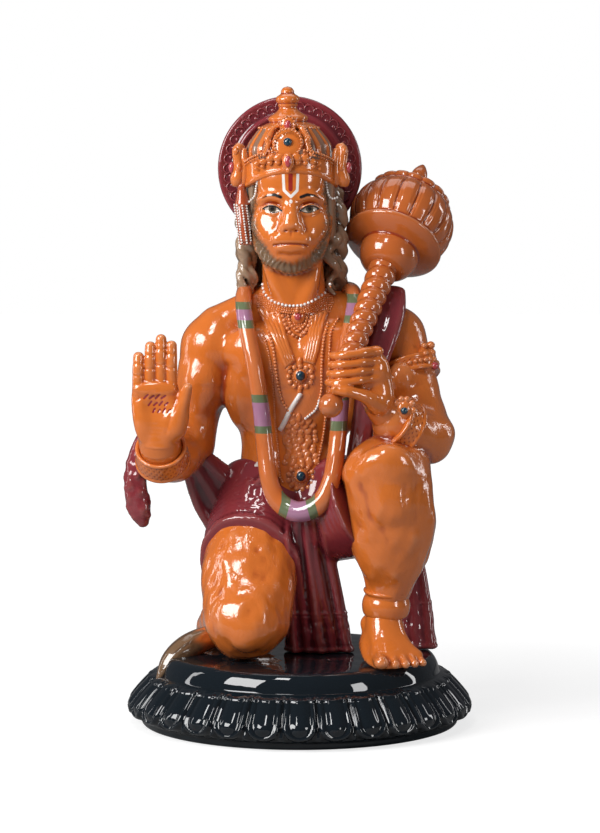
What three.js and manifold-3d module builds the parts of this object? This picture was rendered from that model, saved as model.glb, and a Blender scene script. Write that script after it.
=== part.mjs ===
// A glazed porcelain figure of the kneeling monkey deity with mace, halo and garland, on a round
// plinth carved with lotus petals. Two solids: the figure, cast and fused as one, and its plinth.
// Millimetres, +Z up, origin at the centre of the plinth's underside. The figure faces -Y.
import * as THREE from "three";
import { mergeVertices } from "three/addons/utils/BufferGeometryUtils.js";
import Module from "manifold-3d";

const wasm = await Module();
wasm.setup();

// Driving dimensions.
const FIGURE_HEIGHT = 445; // plinth top to the tip of the crown
const PLINTH_HEIGHT = 55;
const PLINTH_FOOT_RADIUS = 125;
const PLINTH_RIM_RADIUS = 135;
const PLINTH_RIM_HEIGHT = 15;
const PLINTH_STEP_HEIGHT = 15; // plain moulding above the petals
const PLINTH_TOP_RADIUS = 104;
const PLINTH_STEP_FLARE = 6; // how far the moulding's foot stands out past the top
const PETAL_COUNT = 30;
const PETAL_RELIEF = 2.6;
const FIGURE_OFFSET = 2; // the figure stands this far to the viewer's right of the plinth's centre
const SEAT_GAP = 0.3; // between the figure and the plinth that carries it

// The figure's pose and proportions are in hundredths of its height, measured from where it stands
// on the plinth's top: x to the viewer's right, y away from the viewer, z up.
const UNIT = FIGURE_HEIGHT / 100;
const AXIS_X = new THREE.Vector3(1, 0, 0);
const AXIS_Y = new THREE.Vector3(0, 1, 0);
const AXIS_Z = new THREE.Vector3(0, 0, 1);

function at(x, y, z) {
  return new THREE.Vector3(FIGURE_OFFSET + x * UNIT, y * UNIT, PLINTH_HEIGHT + z * UNIT);
}

// Moves every vertex of a geometry to where place(vertex) says.
function reshape(geometry, place) {
  const position = geometry.attributes.position;
  const vertex = new THREE.Vector3();
  for (let i = 0; i < position.count; i += 1) {
    place(vertex.fromBufferAttribute(position, i));
    position.setXYZ(i, vertex.x, vertex.y, vertex.z);
  }
  return geometry;
}

// A closed geometry as a solid that can be joined and cut.
function solid(geometry) {
  const bare = geometry.clone();
  bare.deleteAttribute("normal");
  bare.deleteAttribute("uv");
  const merged = mergeVertices(bare, 1e-4);
  const corners = merged.index.array;
  const triangles = [];
  for (let i = 0; i < corners.length; i += 3) {
    const [a, b, c] = corners.slice(i, i + 3);
    if (a !== b && b !== c && c !== a) triangles.push(a, b, c);
  }
  const mesh = new wasm.Mesh({
    numProp: 3,
    vertProperties: merged.attributes.position.array,
    triVerts: Uint32Array.from(triangles),
  });
  return new wasm.Manifold(mesh);
}

function join(solids) {
  return solids.flat().reduce((joined, next) => joined.add(next));
}

// A path through stations [x, y, z, across, deep], with its two radii varying along it.
function route(stations) {
  const centres = new THREE.CatmullRomCurve3(stations.map(([x, y, z]) => at(x, y, z)));
  const radii = new THREE.CatmullRomCurve3(
    stations.map(([, , , across, deep = across]) => new THREE.Vector3(across * UNIT, deep * UNIT, 0)),
  );
  return { centres, radii };
}

// A tapering limb with rounded ends. The first of its radii is measured along side, round is how
// far its ends bulge, and cap is how many rings an end has.
function limb(stations, { sides = 8, steps = stations.length, side = AXIS_X, round = 0.8, cap = 1 } = {}) {
  const { centres, radii } = route(stations);
  const geometry = new THREE.CapsuleGeometry(1, 1, cap, sides, steps);
  return solid(
    reshape(geometry, (v) => {
      const share = THREE.MathUtils.clamp(v.y + 0.5, 0, 1);
      const past = v.y + 0.5 - share;
      const { x: across, y: deep } = radii.getPoint(share);
      const along = centres.getTangent(share);
      const first = side.clone().addScaledVector(along, -side.dot(along)).normalize();
      const second = new THREE.Vector3().crossVectors(first, along);
      const centre = centres.getPoint(share);
      const reach = (past * round * (across + deep)) / 2;
      const spread = [v.x * across, v.z * deep];
      v.copy(centre).addScaledVector(along, reach);
      v.addScaledVector(first, spread[0]).addScaledVector(second, spread[1]);
    }),
  );
}

// An ellipsoid, turned by angles about x, y and z in degrees.
function ball([x, y, z], [rx, ry, rz], { detail = 4, turn = [0, 0, 0] } = {}) {
  const geometry = new THREE.SphereGeometry(1, detail + 2, detail);
  geometry.rotateX(Math.PI / 2);
  geometry.scale(rx * UNIT, ry * UNIT, rz * UNIT);
  const [ax, ay, az] = turn.map(THREE.MathUtils.degToRad);
  geometry.applyMatrix4(new THREE.Matrix4().makeRotationFromEuler(new THREE.Euler(ax, ay, az)));
  const centre = at(x, y, z);
  return solid(geometry.translate(centre.x, centre.y, centre.z));
}

// Hanging cloth along stations [x, y, z, width, thickness]; its width runs along side, and its
// folds are waves across the width that die away at a tied end.
function drape(stations, { side = AXIS_X, across = 4, steps = 6, folds = 1, depth = 0.5, slack = 1 } = {}) {
  const { centres, radii } = route(stations);
  const geometry = new THREE.BoxGeometry(1, 1, 1, across, 1, steps);
  return solid(
    reshape(geometry, (v) => {
      const share = v.z + 0.5;
      const { x: width, y: thickness } = radii.getPoint(share);
      const along = centres.getTangent(share);
      const first = side.clone().addScaledVector(along, -side.dot(along)).normalize();
      const second = new THREE.Vector3().crossVectors(along, first);
      const wave = Math.cos(2 * Math.PI * folds * v.x) * depth * UNIT * share ** slack;
      const spread = [v.x * width, v.y * thickness + wave];
      v.copy(centres.getPoint(share));
      v.addScaledVector(first, spread[0]).addScaledVector(second, spread[1]);
    }),
  );
}

// A turned form on the axis from base towards tip. Its profile is [radius, way along] pairs that
// start and end on the axis; lobes flute it where the third number of a pair is above 0.
function turned(profile, base, tip, { segments = 10, lobes = 0 } = {}) {
  const points = profile.map(([radius, along]) => new THREE.Vector2(radius * UNIT, along * UNIT));
  const relief = profile.map(([, , cut = 0]) => cut * UNIT);
  const geometry = new THREE.LatheGeometry(points, segments);
  const ring = points.length;
  const position = geometry.attributes.position;
  for (let i = 0; i < position.count; i += 1) {
    const radius = points[i % ring].x;
    if (radius === 0) continue;
    const angle = Math.atan2(position.getX(i), position.getZ(i));
    const groove = 1 - Math.abs(Math.cos((lobes * angle) / 2));
    const grown = (radius - relief[i % ring] * groove) / radius;
    position.setX(i, position.getX(i) * grown);
    position.setZ(i, position.getZ(i) * grown);
  }
  const direction = at(...tip).sub(at(...base)).normalize();
  geometry.applyQuaternion(new THREE.Quaternion().setFromUnitVectors(AXIS_Y, direction));
  const start = at(...base);
  return solid(geometry.translate(start.x, start.y, start.z));
}

// The plinth's outline as [radius, height, petal relief]; grow moves it outwards by that much.
function plinthOutline(grow = 0) {
  const step = PLINTH_HEIGHT - PLINTH_STEP_HEIGHT;
  const stepRadius = PLINTH_TOP_RADIUS + PLINTH_STEP_FLARE;
  const outline = [[0, 0, 0], [PLINTH_FOOT_RADIUS, 0, 0]];
  for (const share of [0.03, 0.3, 0.62, 0.95]) {
    const turn = (share * Math.PI) / 2;
    outline.push([
      stepRadius + (PLINTH_RIM_RADIUS - stepRadius) * Math.cos(turn),
      PLINTH_RIM_HEIGHT + (step - PLINTH_RIM_HEIGHT) * Math.sin(turn),
      share > 0.9 ? PETAL_RELIEF / 2 : PETAL_RELIEF,
    ]);
  }
  outline.push([PLINTH_TOP_RADIUS + 1, PLINTH_HEIGHT - PLINTH_STEP_HEIGHT / 2, 0]);
  outline.push([PLINTH_TOP_RADIUS, PLINTH_HEIGHT, 0], [0, PLINTH_HEIGHT, 0]);
  return outline.map(([radius, z, cut]) => [radius > 0 ? radius + grow : 0, z + (z > 0 ? grow : 0), cut]);
}

// The lathed plinth; its petals stand between valleys cut into the rounded shoulder.
function plinth(grow = 0, petals = PETAL_COUNT) {
  const outline = plinthOutline(grow);
  const points = outline.map(([radius, z]) => new THREE.Vector2(radius, z));
  const geometry = new THREE.LatheGeometry(points, 3 * PETAL_COUNT);
  geometry.rotateX(Math.PI / 2);
  const position = geometry.attributes.position;
  for (let i = 0; i < position.count; i += 1) {
    const [radius, , cut] = outline[i % outline.length];
    if (cut === 0 || petals === 0) continue;
    const angle = Math.atan2(position.getX(i), position.getY(i));
    const valley = Math.cos((petals * angle) / 2) ** 8;
    const grown = (radius - cut * valley) / radius;
    position.setX(i, position.getX(i) * grown);
    position.setY(i, position.getY(i) * grown);
  }
  return solid(geometry);
}

// Neck, chest and waist.
function torso() {
  const trunk = limb(
    [
      [-1.8, 3.4, 28, 9.8, 7.0],
      [-1.8, 2.8, 35, 9.3, 6.6],
      [-1.4, 2.4, 41.5, 10.4, 7.0],
      [-0.8, 2.2, 48.5, 12.2, 8.2],
      [-0.4, 2.8, 54.5, 12.8, 7.6],
      [-0.6, 3.4, 59.4, 9.6, 5.6],
    ],
    { sides: 12, steps: 5, round: 0.5 },
  );
  const shoulders = limb(
    [
      [-14.8, 3.6, 58.2, 3.6], [-7.4, 3.8, 61.6, 3.8], [-1.2, 4.2, 63.6, 4.4], [5.4, 3.8, 61, 3.8],
      [13, 3.6, 57.6, 3.6],
    ],
    { sides: 6, steps: 4, side: AXIS_Y },
  );
  const neck = limb([[-1.0, 2.6, 60, 6.0], [-1.7, 0.8, 71.5, 5.6]], { steps: 1 });
  return [trunk, shoulders, neck];
}

// The broad simian face under the crown, with muzzle, nose, brow and a fringe of beard.
function head() {
  const skull = limb(
    [
      [-1.9, -2.6, 69.8, 3.6, 3.8],
      [-1.9, -1.2, 73, 5.9, 5.8],
      [-1.9, -0.4, 77, 7.0, 6.7],
      [-1.9, 0, 81, 7.2, 7.3],
      [-2.0, 0.4, 86, 7.0, 7.4],
    ],
    { sides: 12, steps: 5, round: 0.55 },
  );
  const muzzle = ball([-1.9, -6.0, 73.9], [4.3, 2.6, 3.2], { detail: 5 });
  const nose = limb([[-1.9, -6.5, 81, 1.0], [-1.85, -8.5, 75.9, 1.6, 1.1]], { sides: 6, steps: 1 });
  const brow = limb(
    [
      [-7.6, -4.4, 80.6, 0.8], [-5.2, -6.5, 81.8, 1.0], [-1.9, -7.0, 81, 0.8], [1.4, -6.5, 81.8, 1.0],
      [3.8, -4.4, 80.6, 0.8],
    ],
    { sides: 5, steps: 4, side: AXIS_Z },
  );
  const beard = limb(
    [
      [-8.9, 0.4, 80, 1.2],
      [-8.3, -1.4, 74.5, 1.7],
      [-5.9, -4.2, 70.4, 1.9],
      [-1.9, -5.8, 68.8, 2.0],
      [2.1, -4.2, 70.4, 1.9],
      [4.5, -1.4, 74.5, 1.7],
      [5.1, 0.4, 80, 1.2],
    ],
    { sides: 6, steps: 7, side: AXIS_Y },
  );
  return [skull, muzzle, nose, brow, beard];
}

// The tall crown: band, ribbed dome, stacked finial, front medallion and two side rosettes.
function crown() {
  const foot = [-2.1, 0.6, 82];
  const tip = [-2.6, 0.6, 100];
  const dome = turned(
    [
      [0, 1], [7.9, 0], [8.4, 0.8], [8.0, 4.6], [7.7, 6.4, 0.7], [6.6, 9.2, 0.8], [4.2, 11.4, 0.5],
      [0, 12.2],
    ],
    foot,
    tip,
    { segments: 20, lobes: 10 },
  );
  const finial = turned(
    [[0, 11], [3.0, 11.2], [3.6, 12.5], [1.6, 14], [2.1, 15.2], [1.0, 16.6], [0, 18]],
    foot,
    tip,
    { segments: 8 },
  );
  const medallion = turned(
    [[0, -1.5], [2.8, -1.4], [2.8, 0.4], [0, 1.4]],
    [-2.5, -6.6, 89.6],
    [-2.5, -9.6, 90.8],
  );
  const rosettes = [-1, 1].map((way) => ball([-2.2 + way * 8.6, 0.2, 86], [1.6, 3.2, 4.2]));
  return [dome, finial, medallion, rosettes];
}

// The round halo fixed behind the crown, with a raised rim and an inner ring.
function halo() {
  const disc = turned(
    [[0, -0.6], [12.0, -0.6], [13.0, 0], [12.5, 0.9], [11.2, 0.4], [9.3, 0.9], [8.6, 0.4], [0, 0.4]],
    [-2.2, 11.2, 85.7],
    [-2.2, 0, 85.7],
    { segments: 22 },
  );
  return [disc];
}

// Long hair: a fall from the halo down the back, and a column of curls beside each cheek.
function hair() {
  const fall = limb(
    [
      [-1.9, 6.4, 84.5, 7.0, 4.6], [-1.8, 5.6, 74, 8.6, 4.4], [-1.4, 7.2, 65, 8.6, 3.4],
      [-1.2, 8.4, 57, 5.6, 1.8],
    ],
    { steps: 3, round: 0.6 },
  );
  const curls = [-1, 1].map((way) =>
    limb(
      [0, 1, 2, 3, 4, 5, 6].map((turn) => {
        const swing = turn % 2;
        return [-1.6 + way * (7.8 + swing * 0.6), 2.0 + turn * 0.25, 77.5 - turn * 2.4, 1.4 + swing * 0.5];
      }),
      { sides: 5, steps: 6, side: AXIS_Y },
    ),
  );
  return [fall, curls];
}

// The ear pendant: a cone with a square tassel of pearl strings below it.
function earPendant() {
  return [
    limb([[-10.4, -2.0, 81.6, 0.6], [-10.6, -2.4, 79.6, 1.3, 1.1], [-10.3, -2.8, 72.8, 1.3, 1.1]], {
      sides: 6,
      steps: 3,
      round: 0.2,
    }),
  ];
}

// The viewer's left arm, bent forward at the elbow, with its open palm raised in blessing.
function blessingArm() {
  const shoulder = ball([-15.8, 3.4, 54.4], [5.8, 5.4, 5.8], { detail: 6 });
  const upperArm = limb(
    [[-16.4, 3.4, 54, 5.0], [-17.6, 3.4, 48.5, 5.0], [-19.0, 3.4, 42.5, 4.3], [-20.2, 3.0, 36.6, 4.4]],
    { steps: 3 },
  );
  const forearm = limb(
    [
      [-20.6, 2.6, 36, 4.4], [-22.6, -2.4, 35.4, 4.9], [-24.2, -7.2, 35.8, 4.5],
      [-24.9, -10.8, 38, 3.7],
    ],
    { steps: 3 },
  );
  const cuff = turned(
    [[0, -2.6], [5.0, -2.4], [5.0, 2.4], [0, 2.6]],
    [-24.1, -6.6, 35.7],
    [-23.3, -3.6, 35.4],
  );
  const palm = limb(
    [
      [-24.8, -11.4, 39, 3.7, 2.7], [-24.9, -12.3, 42.4, 4.1, 2.0], [-25.3, -12.8, 46, 4.2, 1.5],
      [-25.3, -13, 48.6, 4.0, 1.1],
    ],
    { steps: 3, round: 0.5 },
  );
  const thumb = limb([[-22.4, -13.2, 41.4, 1.7], [-20.6, -14.4, 45.6, 1.2], [-19.6, -14.9, 49.4, 0.95]], {
    sides: 6,
    steps: 2,
  });
  const fingers = [
    [-22.5, 48.4, 55.9],
    [-24.3, 48.6, 57],
    [-26.1, 48.2, 55.7],
    [-27.8, 47.0, 54],
  ].map(([x, root, tip]) => limb(
    [[x, -12.9, root, 0.86], [x, -13.1, tip, 0.82]],
    { sides: 6, steps: 1, round: 1 },
  ));
  return [shoulder, upperArm, forearm, cuff, palm, thumb, fingers];
}

// The viewer's right arm, its forearm laid across the raised knee and its fist round the mace.
function maceArm() {
  const shoulder = ball([16.6, 3.0, 55.8], [5.6, 5.4, 6.0], { detail: 6 });
  const upperArm = limb(
    [[16.8, 3.0, 56, 5.0], [18.8, 0.8, 50, 4.9], [20.6, -2.8, 44.4, 4.4], [22.3, -6.4, 39.4, 4.5]],
    { steps: 3 },
  );
  const armlet = turned(
    [[0, -1.3], [5.4, -1.2], [5.4, 1.2], [0, 1.3]],
    [18.4, 1.2, 51.4],
    [19.6, -0.4, 47.6],
  );
  const armletFlower = ball([22.6, -2.0, 51.4], [1.6, 2.8, 3.2]);
  const forearm = limb(
    [
      [22.5, -6.8, 38.2, 4.5], [18.4, -10.6, 40.6, 4.5], [14.8, -13, 43.4, 3.5],
      [12.6, -13.8, 45.8, 3.1],
    ],
    { steps: 3 },
  );
  const cuff = turned(
    [[0, -1.8], [4.2, -1.6], [4.6, 1.5], [0, 1.8]],
    [16.2, -12.1, 42.4],
    [18.6, -10.4, 41],
  );
  const cuffFlower = ball([16.6, -15.9, 43.2], [2.0, 1.0, 2.0]);
  const handBack = limb(
    [[12.4, -13.9, 46.2, 3.2, 2.9], [10.6, -14.9, 49.6, 3.4, 2.8], [9.4, -14.8, 53.0, 2.6, 2.2]],
    { steps: 2, round: 0.7 },
  );
  const fingers = [0, 1, 2, 3].map((finger) => {
    const z = 52.8 - finger * 1.8;
    const x = -finger * 0.45;
    return limb(
      [[10.0 + x, -16.2, z + 0.2, 0.85], [7.2 + x, -17.8, z, 0.85], [5.0 + x, -16.0, z - 0.3, 0.8]],
      { sides: 5, steps: 2, side: AXIS_Z },
    );
  });
  return [shoulder, upperArm, armlet, armletFlower, forearm, cuff, cuffFlower, handBack, fingers];
}

// The ball-headed mace leaning back over the shoulder: pommel and ringed shaft, then the bowl,
// the fluted head and its bud.
function mace() {
  const pommel = [4.9, -18.6, 45.6];
  const crest = [17.5, 7.4, 75.7];
  const shaft = [[0, -2.2], [1.7, -1.5], [2.2, 0], [1.5, 2.0]];
  for (let ring = 0; ring < 5; ring += 1) {
    const start = 3.4 + ring * 6;
    const radius = 2.1 + ring * 0.18;
    shaft.push([radius, start + 1.2], [radius * 0.8, start + 4.2]);
  }
  shaft.push([0, 34]);
  const head = [
    [0, 31.5], [5.0, 33.6], [8.8, 37.2], [8.7, 38.7], [9.5, 41.6, 1.1], [9.1, 45.4, 1.1], [5.0, 50.2],
    [0, 51.8],
  ];
  const bud = [[0, 50.5], [0.9, 52], [1.6, 53.8], [0, 56.2]];
  return [
    turned(shaft, pommel, crest, { segments: 7 }),
    turned(head, pommel, crest, { segments: 20, lobes: 10 }),
    turned(bud, pommel, crest, { segments: 6 }),
  ];
}

// The garland that hangs from behind the neck to the lap.
function garland() {
  const loop = [
    [-1.0, 8.2, 63.5, 1.3], [-8.6, 5.6, 64.6, 1.35], [-10.3, -0.4, 63.6, 1.4], [-9.9, -4.8, 58.6, 1.45],
    [-8.9, -7.4, 52, 1.5], [-7.6, -7.4, 44.5, 1.5], [-6.6, -6.9, 37.4, 1.55], [-6.0, -7.3, 31.5, 1.6],
    [-4.2, -8.2, 27, 1.65], [-0.4, -8.6, 24.8, 1.75], [3.4, -8.2, 26.8, 1.65], [5.4, -7.3, 31.5, 1.6],
    [6.2, -6.9, 37, 1.55], [6.9, -7.4, 44, 1.5], [7.6, -7.4, 51, 1.5], [8.8, -5.0, 57.8, 1.45],
    [9.4, -0.4, 63.2, 1.4], [7.2, 5.6, 64.4, 1.35], [-1.0, 8.2, 63.5, 1.3],
  ];
  return [limb(loop, { sides: 5, steps: 18, side: AXIS_Y })];
}

// The collar, and the jewelled pendants on the middle line of the chest.
function necklaces() {
  const collar = limb(
    [
      [-6.4, -1.4, 62.6, 1.0, 0.7], [-4.6, -4.0, 60.2, 1.2, 0.8], [-0.8, -5.4, 59, 1.3, 0.9],
      [3.2, -4.0, 60.2, 1.2, 0.8], [5.2, -1.4, 62.6, 1.0, 0.7],
    ],
    { sides: 5, steps: 4, side: AXIS_Z },
  );
  const pendants = [
    ball([-0.3, -6.4, 49.8], [2.7, 2.2, 2.7]),
    ball([-0.3, -6.9, 31.8], [3.3, 1.7, 3.5]),
  ];
  return [collar, pendants];
}

// The kneeling leg, thigh forward and down to the knee, the shin and foot laid back on the plinth.
function kneelingLeg() {
  const thigh = limb([[-6.6, 2.4, 24, 8.0, 7.4], [-9.0, -3.4, 16, 8.7, 7.9], [-9.8, -8.4, 7.8, 7.9, 7.4]], {
    sides: 12,
    steps: 4,
    cap: 2,
    round: 1,
  });
  const shin = limb(
    [[-10.2, -5, 5.2, 5.4, 5.0], [-12.8, 3, 4.8, 4.4, 4.4], [-15.4, 8.8, 4.0, 3.0, 3.2]],
    { steps: 2 },
  );
  const foot = limb(
    [[-15.8, 8.6, 4.6, 2.4, 2.6], [-16.8, 11.6, 3.2, 2.5, 2.4], [-16.6, 14.2, 1.4, 2.6, 1.4]],
    { steps: 2 },
  );
  return [thigh, shin, foot];
}

// The raised leg, its knee under the forearm and its foot flat on the plinth.
function standingLeg() {
  const shin = limb(
    [
      [14.8, -11.8, 33.4, 8.0, 7.2],
      [15.8, -12, 27, 7.5, 6.8],
      [15.8, -10.8, 20.4, 6.5, 6.0],
      [15.2, -9.6, 14, 4.4, 4.4],
      [14.5, -8.8, 8.6, 3.4, 3.6],
      [14.2, -8.2, 3.6, 3.4, 3.6],
    ],
    { sides: 10, steps: 6, cap: 2, round: 0.9 },
  );
  const anklet = turned(
    [[0, -2.4], [4.4, -2.0], [4.4, 1.8], [0, 2.2]],
    [14.7, -9.0, 10.0],
    [15.0, -9.4, 13],
  );
  const foot = limb(
    [[13.0, -4.4, 2.4, 2.7, 2.5], [14.4, -8.6, 3.2, 3.1, 3.0], [16.4, -13.2, 1.9, 3.9, 1.9]],
    { steps: 3 },
  );
  const toes = [
    [14.0, -14, 14.2, -17.8, 1.35],
    [16.15, -14.4, 16.5, -17.4, 0.85],
    [17.8, -14.2, 18.3, -16.8, 0.8],
    [18.6, -12.6, 20.0, -15.8, 0.75],
    [19.4, -11.2, 21.3, -14.2, 0.75],
  ].map(([rootX, rootY, tipX, tipY, radius]) =>
    limb([[rootX, rootY, 1.4, radius], [tipX, tipY, radius, radius]], { sides: 6, steps: 1 }),
  );
  return [shin, anklet, foot, toes];
}

// The waist cloth: wrapped hips, two short legs, and the pleats that fall between them.
function waistCloth() {
  const wrap = limb(
    [[-1.8, 4.6, 21, 10.4, 8.8], [-1.8, 3.8, 27, 10.9, 8.8], [-1.8, 3.2, 31.6, 10.3, 7.6]],
    { sides: 10, steps: 2, round: 0 },
  );
  const kneelingLegCloth = limb(
    [[-5.6, 4.4, 28, 8.9, 8.6], [-7.6, 0, 21.8, 9.1, 8.7], [-8.8, -3.0, 17.4, 9.2, 8.7]],
    { sides: 12, steps: 2, round: 0 },
  );
  const raisedLegCloth = limb(
    [[3.2, 3.6, 25.4, 8.6, 8.8], [7.8, -2.8, 27.6, 8.6, 9.2], [12.0, -8.4, 30.6, 8.4, 9.0]],
    { sides: 12, steps: 2, round: 0 },
  );
  const pleats = drape(
    [[0.2, -5.6, 29, 5, 3], [1.0, -5.2, 22, 7.4, 4], [1.9, -2.6, 12, 9.4, 4.4], [2.9, 0.6, 0, 11.6, 4.6]],
    { across: 8, steps: 3, folds: 4, depth: 0.6, slack: 0.5 },
  );
  return [wrap, kneelingLegCloth, raisedLegCloth, pleats];
}

// The long scarf: over the shoulder, down the back to the hip, up over the bent elbow, and its two
// hanging ends.
function scarf() {
  const shoulderFall = drape(
    [
      [9.4, -5.2, 32, 5, 1.6], [11.8, -5.6, 42, 5, 1.6], [13.6, -5, 51, 5, 1.6],
      [15.2, -2.2, 60, 5.4, 1.6], [15.0, 4.2, 62.6, 5.8, 1.8], [11.6, 9.0, 54, 6, 2.4],
      [3.4, 9.8, 42, 6.4, 2.4], [-4.6, 10.4, 31, 7, 2.4], [-8.4, 9.4, 25, 6, 2.4],
    ],
    { across: 2, steps: 11, depth: 0.3, slack: 0 },
  );
  const hipFall = drape(
    [
      [-20.4, 1.0, 36.4, 2.4, 1.6], [-17.8, 1.6, 32.4, 5.6, 1.6], [-14.8, 2.4, 28.4, 8.6, 1.8],
      [-11.6, 3.4, 24.6, 10, 2],
    ],
    { side: new THREE.Vector3(1, 0, 1), across: 4, steps: 3, folds: 2, depth: 0.4 },
  );
  const outerEnd = limb(
    [
      [-19.4, 3.2, 39.2, 1.6, 2.4], [-23.4, 1.4, 41, 1.6, 2.6], [-26.8, -0.8, 39.4, 1.5, 2.4],
      [-28.8, -2.2, 35.6, 1.9, 2.2], [-29.2, -3, 30, 2.4, 2.0], [-28.6, -3.1, 25.6, 2.2, 1.9],
      [-28.1, -3.1, 23.2, 1.2, 1.0],
    ],
    { sides: 6, steps: 6 },
  );
  const backEnd = drape(
    [[8.0, 9.4, 30, 5, 2.2], [14.4, 8.4, 27, 4.6, 2.0], [19.2, 6.2, 17, 4.2, 1.8], [20.6, 4.2, 7, 5.0, 2.0],
      [20.8, 3.4, 0, 6.2, 2.2]],
    { across: 4, steps: 5, folds: 2, depth: 0.4 },
  );
  return [shoulderFall, hipFall, outerEnd, backEnd];
}

// The tail: down the back to the plinth, under the shin and out over the plinth's edge.
function tail() {
  const root = limb(
    [[-2.4, 11.0, 24, 2.0], [-3.6, 14.4, 14, 1.9], [-6.0, 13.4, 4.6, 1.8], [-11.4, 6.4, 2.4, 1.8]],
    { sides: 6, steps: 5 },
  );
  const edge = PLINTH_TOP_RADIUS / UNIT;
  const pastEdge = (out, bearing, z) => {
    const turn = THREE.MathUtils.degToRad(bearing);
    return [-(edge + out) * Math.cos(turn), -(edge + out) * Math.sin(turn), z];
  };
  const tip = limb(
    [
      [-12.4, 4.4, 2.8, 1.6], [-17.2, 0.2, 3.0, 1.7], [...pastEdge(-2, 7, 2.0), 1.9],
      [...pastEdge(0.9, 11, -0.6), 1.5], [...pastEdge(2.7, 14, -3.4), 0.5],
    ],
    { sides: 6, steps: 6 },
  );
  return [root, tip];
}

// The figure stands on the plinth with a small gap, so its underside is trimmed to the plinth.
function figure() {
  const parts = [
    torso(), head(), crown(), halo(), hair(), earPendant(), blessingArm(), maceArm(), mace(),
    garland(), necklaces(), kneelingLeg(), standingLeg(), waistCloth(), scarf(), tail(),
  ];
  return join(parts.flat(2)).subtract(plinth(SEAT_GAP, 0));
}

function meshOf(name, made, colour, roughness) {
  const { vertProperties, triVerts } = made.getMesh();
  const geometry = new THREE.BufferGeometry()
    .setAttribute("position", new THREE.BufferAttribute(vertProperties, 3))
    .setIndex(new THREE.BufferAttribute(triVerts, 1));
  geometry.computeVertexNormals();
  const material = new THREE.MeshStandardMaterial({ color: colour, roughness, metalness: 0 });
  const mesh = new THREE.Mesh(geometry, material);
  mesh.name = name;
  return mesh;
}

const group = new THREE.Group();
group.add(meshOf("plinth", plinth(), 0x15191d, 0.08));
group.add(meshOf("figure", figure(), 0xc8662b, 0.12));
export default group;
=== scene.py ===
"""The look of the glazed porcelain figure: a kneeling monkey deity on a round lotus plinth.

The carved porcelain is shaped as clay, a field of distances that rounded forms are added to and
pressed into, and then skinned. Beads, crown, mace, halo and plinth are turned and spun.
The figure's places are in hundredths of its height, as in the part's source: x to the viewer's
right, y away from the viewer, z up from the plinth's top.
"""

import math

import bmesh
import bpy
import numpy as np
import openvdb
from mathutils import Euler, Matrix, Vector
from mathutils.bvhtree import BVHTree


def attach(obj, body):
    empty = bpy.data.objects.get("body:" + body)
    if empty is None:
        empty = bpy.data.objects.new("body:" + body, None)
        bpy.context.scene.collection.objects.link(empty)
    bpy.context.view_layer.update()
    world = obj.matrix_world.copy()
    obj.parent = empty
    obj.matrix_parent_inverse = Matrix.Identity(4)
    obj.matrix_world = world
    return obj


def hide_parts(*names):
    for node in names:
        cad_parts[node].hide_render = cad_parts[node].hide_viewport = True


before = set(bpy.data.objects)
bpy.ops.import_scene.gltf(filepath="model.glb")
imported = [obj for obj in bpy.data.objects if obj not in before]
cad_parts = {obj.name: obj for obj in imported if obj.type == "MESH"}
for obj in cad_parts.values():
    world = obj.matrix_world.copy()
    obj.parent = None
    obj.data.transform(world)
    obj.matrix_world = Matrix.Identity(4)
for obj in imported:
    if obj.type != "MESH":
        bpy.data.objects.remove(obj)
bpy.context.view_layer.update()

PLINTH_TOP = 0.055
FIGURE_SIDE = 0.002
UNIT = 0.00445
FAR = 3.0


# Paths and distances.


def unit(v):
    v = np.array(v, float)
    return v / np.linalg.norm(v)


def metres(points):
    return np.array(points, float)[..., :3] * UNIT + (FIGURE_SIDE, 0, PLINTH_TOP)


def spline(points, step=0.8):
    """Rows on a smooth path through points, about step apart."""
    p = np.array(points, float)
    p = np.vstack([2 * p[0] - p[1], p, 2 * p[-1] - p[-2]])
    rows = []
    for a, b, c, d in zip(p[:-3], p[1:-2], p[2:-1], p[3:]):
        count = max(1, round(np.linalg.norm((c - b)[:3]) / step))
        t = (np.arange(count) / count)[:, None]
        rows.append(b + 0.5 * t * (c - a + t * (2 * a - 5 * b + 4 * c - d + t * (3 * b - a - 3 * c + d))))
    return np.vstack([*rows, p[-2:-1]])


def stations(rows):
    """[x, y, z, across, deep] rows; deep is the same as across where it is left out."""
    return [list(r) + [r[3]] if len(r) == 4 else list(r) for r in rows]


def smooth(low, high, value):
    t = np.clip((value - low) / (high - low), 0, 1)
    return t * t * (3 - 2 * t)


def turns(count):
    """The angles of count even places round a ring."""
    return np.linspace(0, 2 * math.pi, count + 1)[:-1]


def line_gap(x, z, points):
    """How far (x, z) is from a line of [x, z] points, seen from the front."""
    gap = None
    for (ax, az), (bx, bz) in zip(points[:-1], points[1:]):
        dx, dz = bx - ax, bz - az
        t = np.clip(((x - ax) * dx + (z - az) * dz) / max(dx * dx + dz * dz, 1e-9), 0, 1)
        here = np.hypot(x - ax - t * dx, z - az - t * dz)
        gap = here if gap is None else np.minimum(gap, here)
    return gap


def bands(z, rows):
    """Raised bands, as a depth to press: rows of their height, half-width and relief."""
    return -sum(relief * smooth(half, 0, np.abs(z - height)) for height, half, relief in rows)


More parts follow.
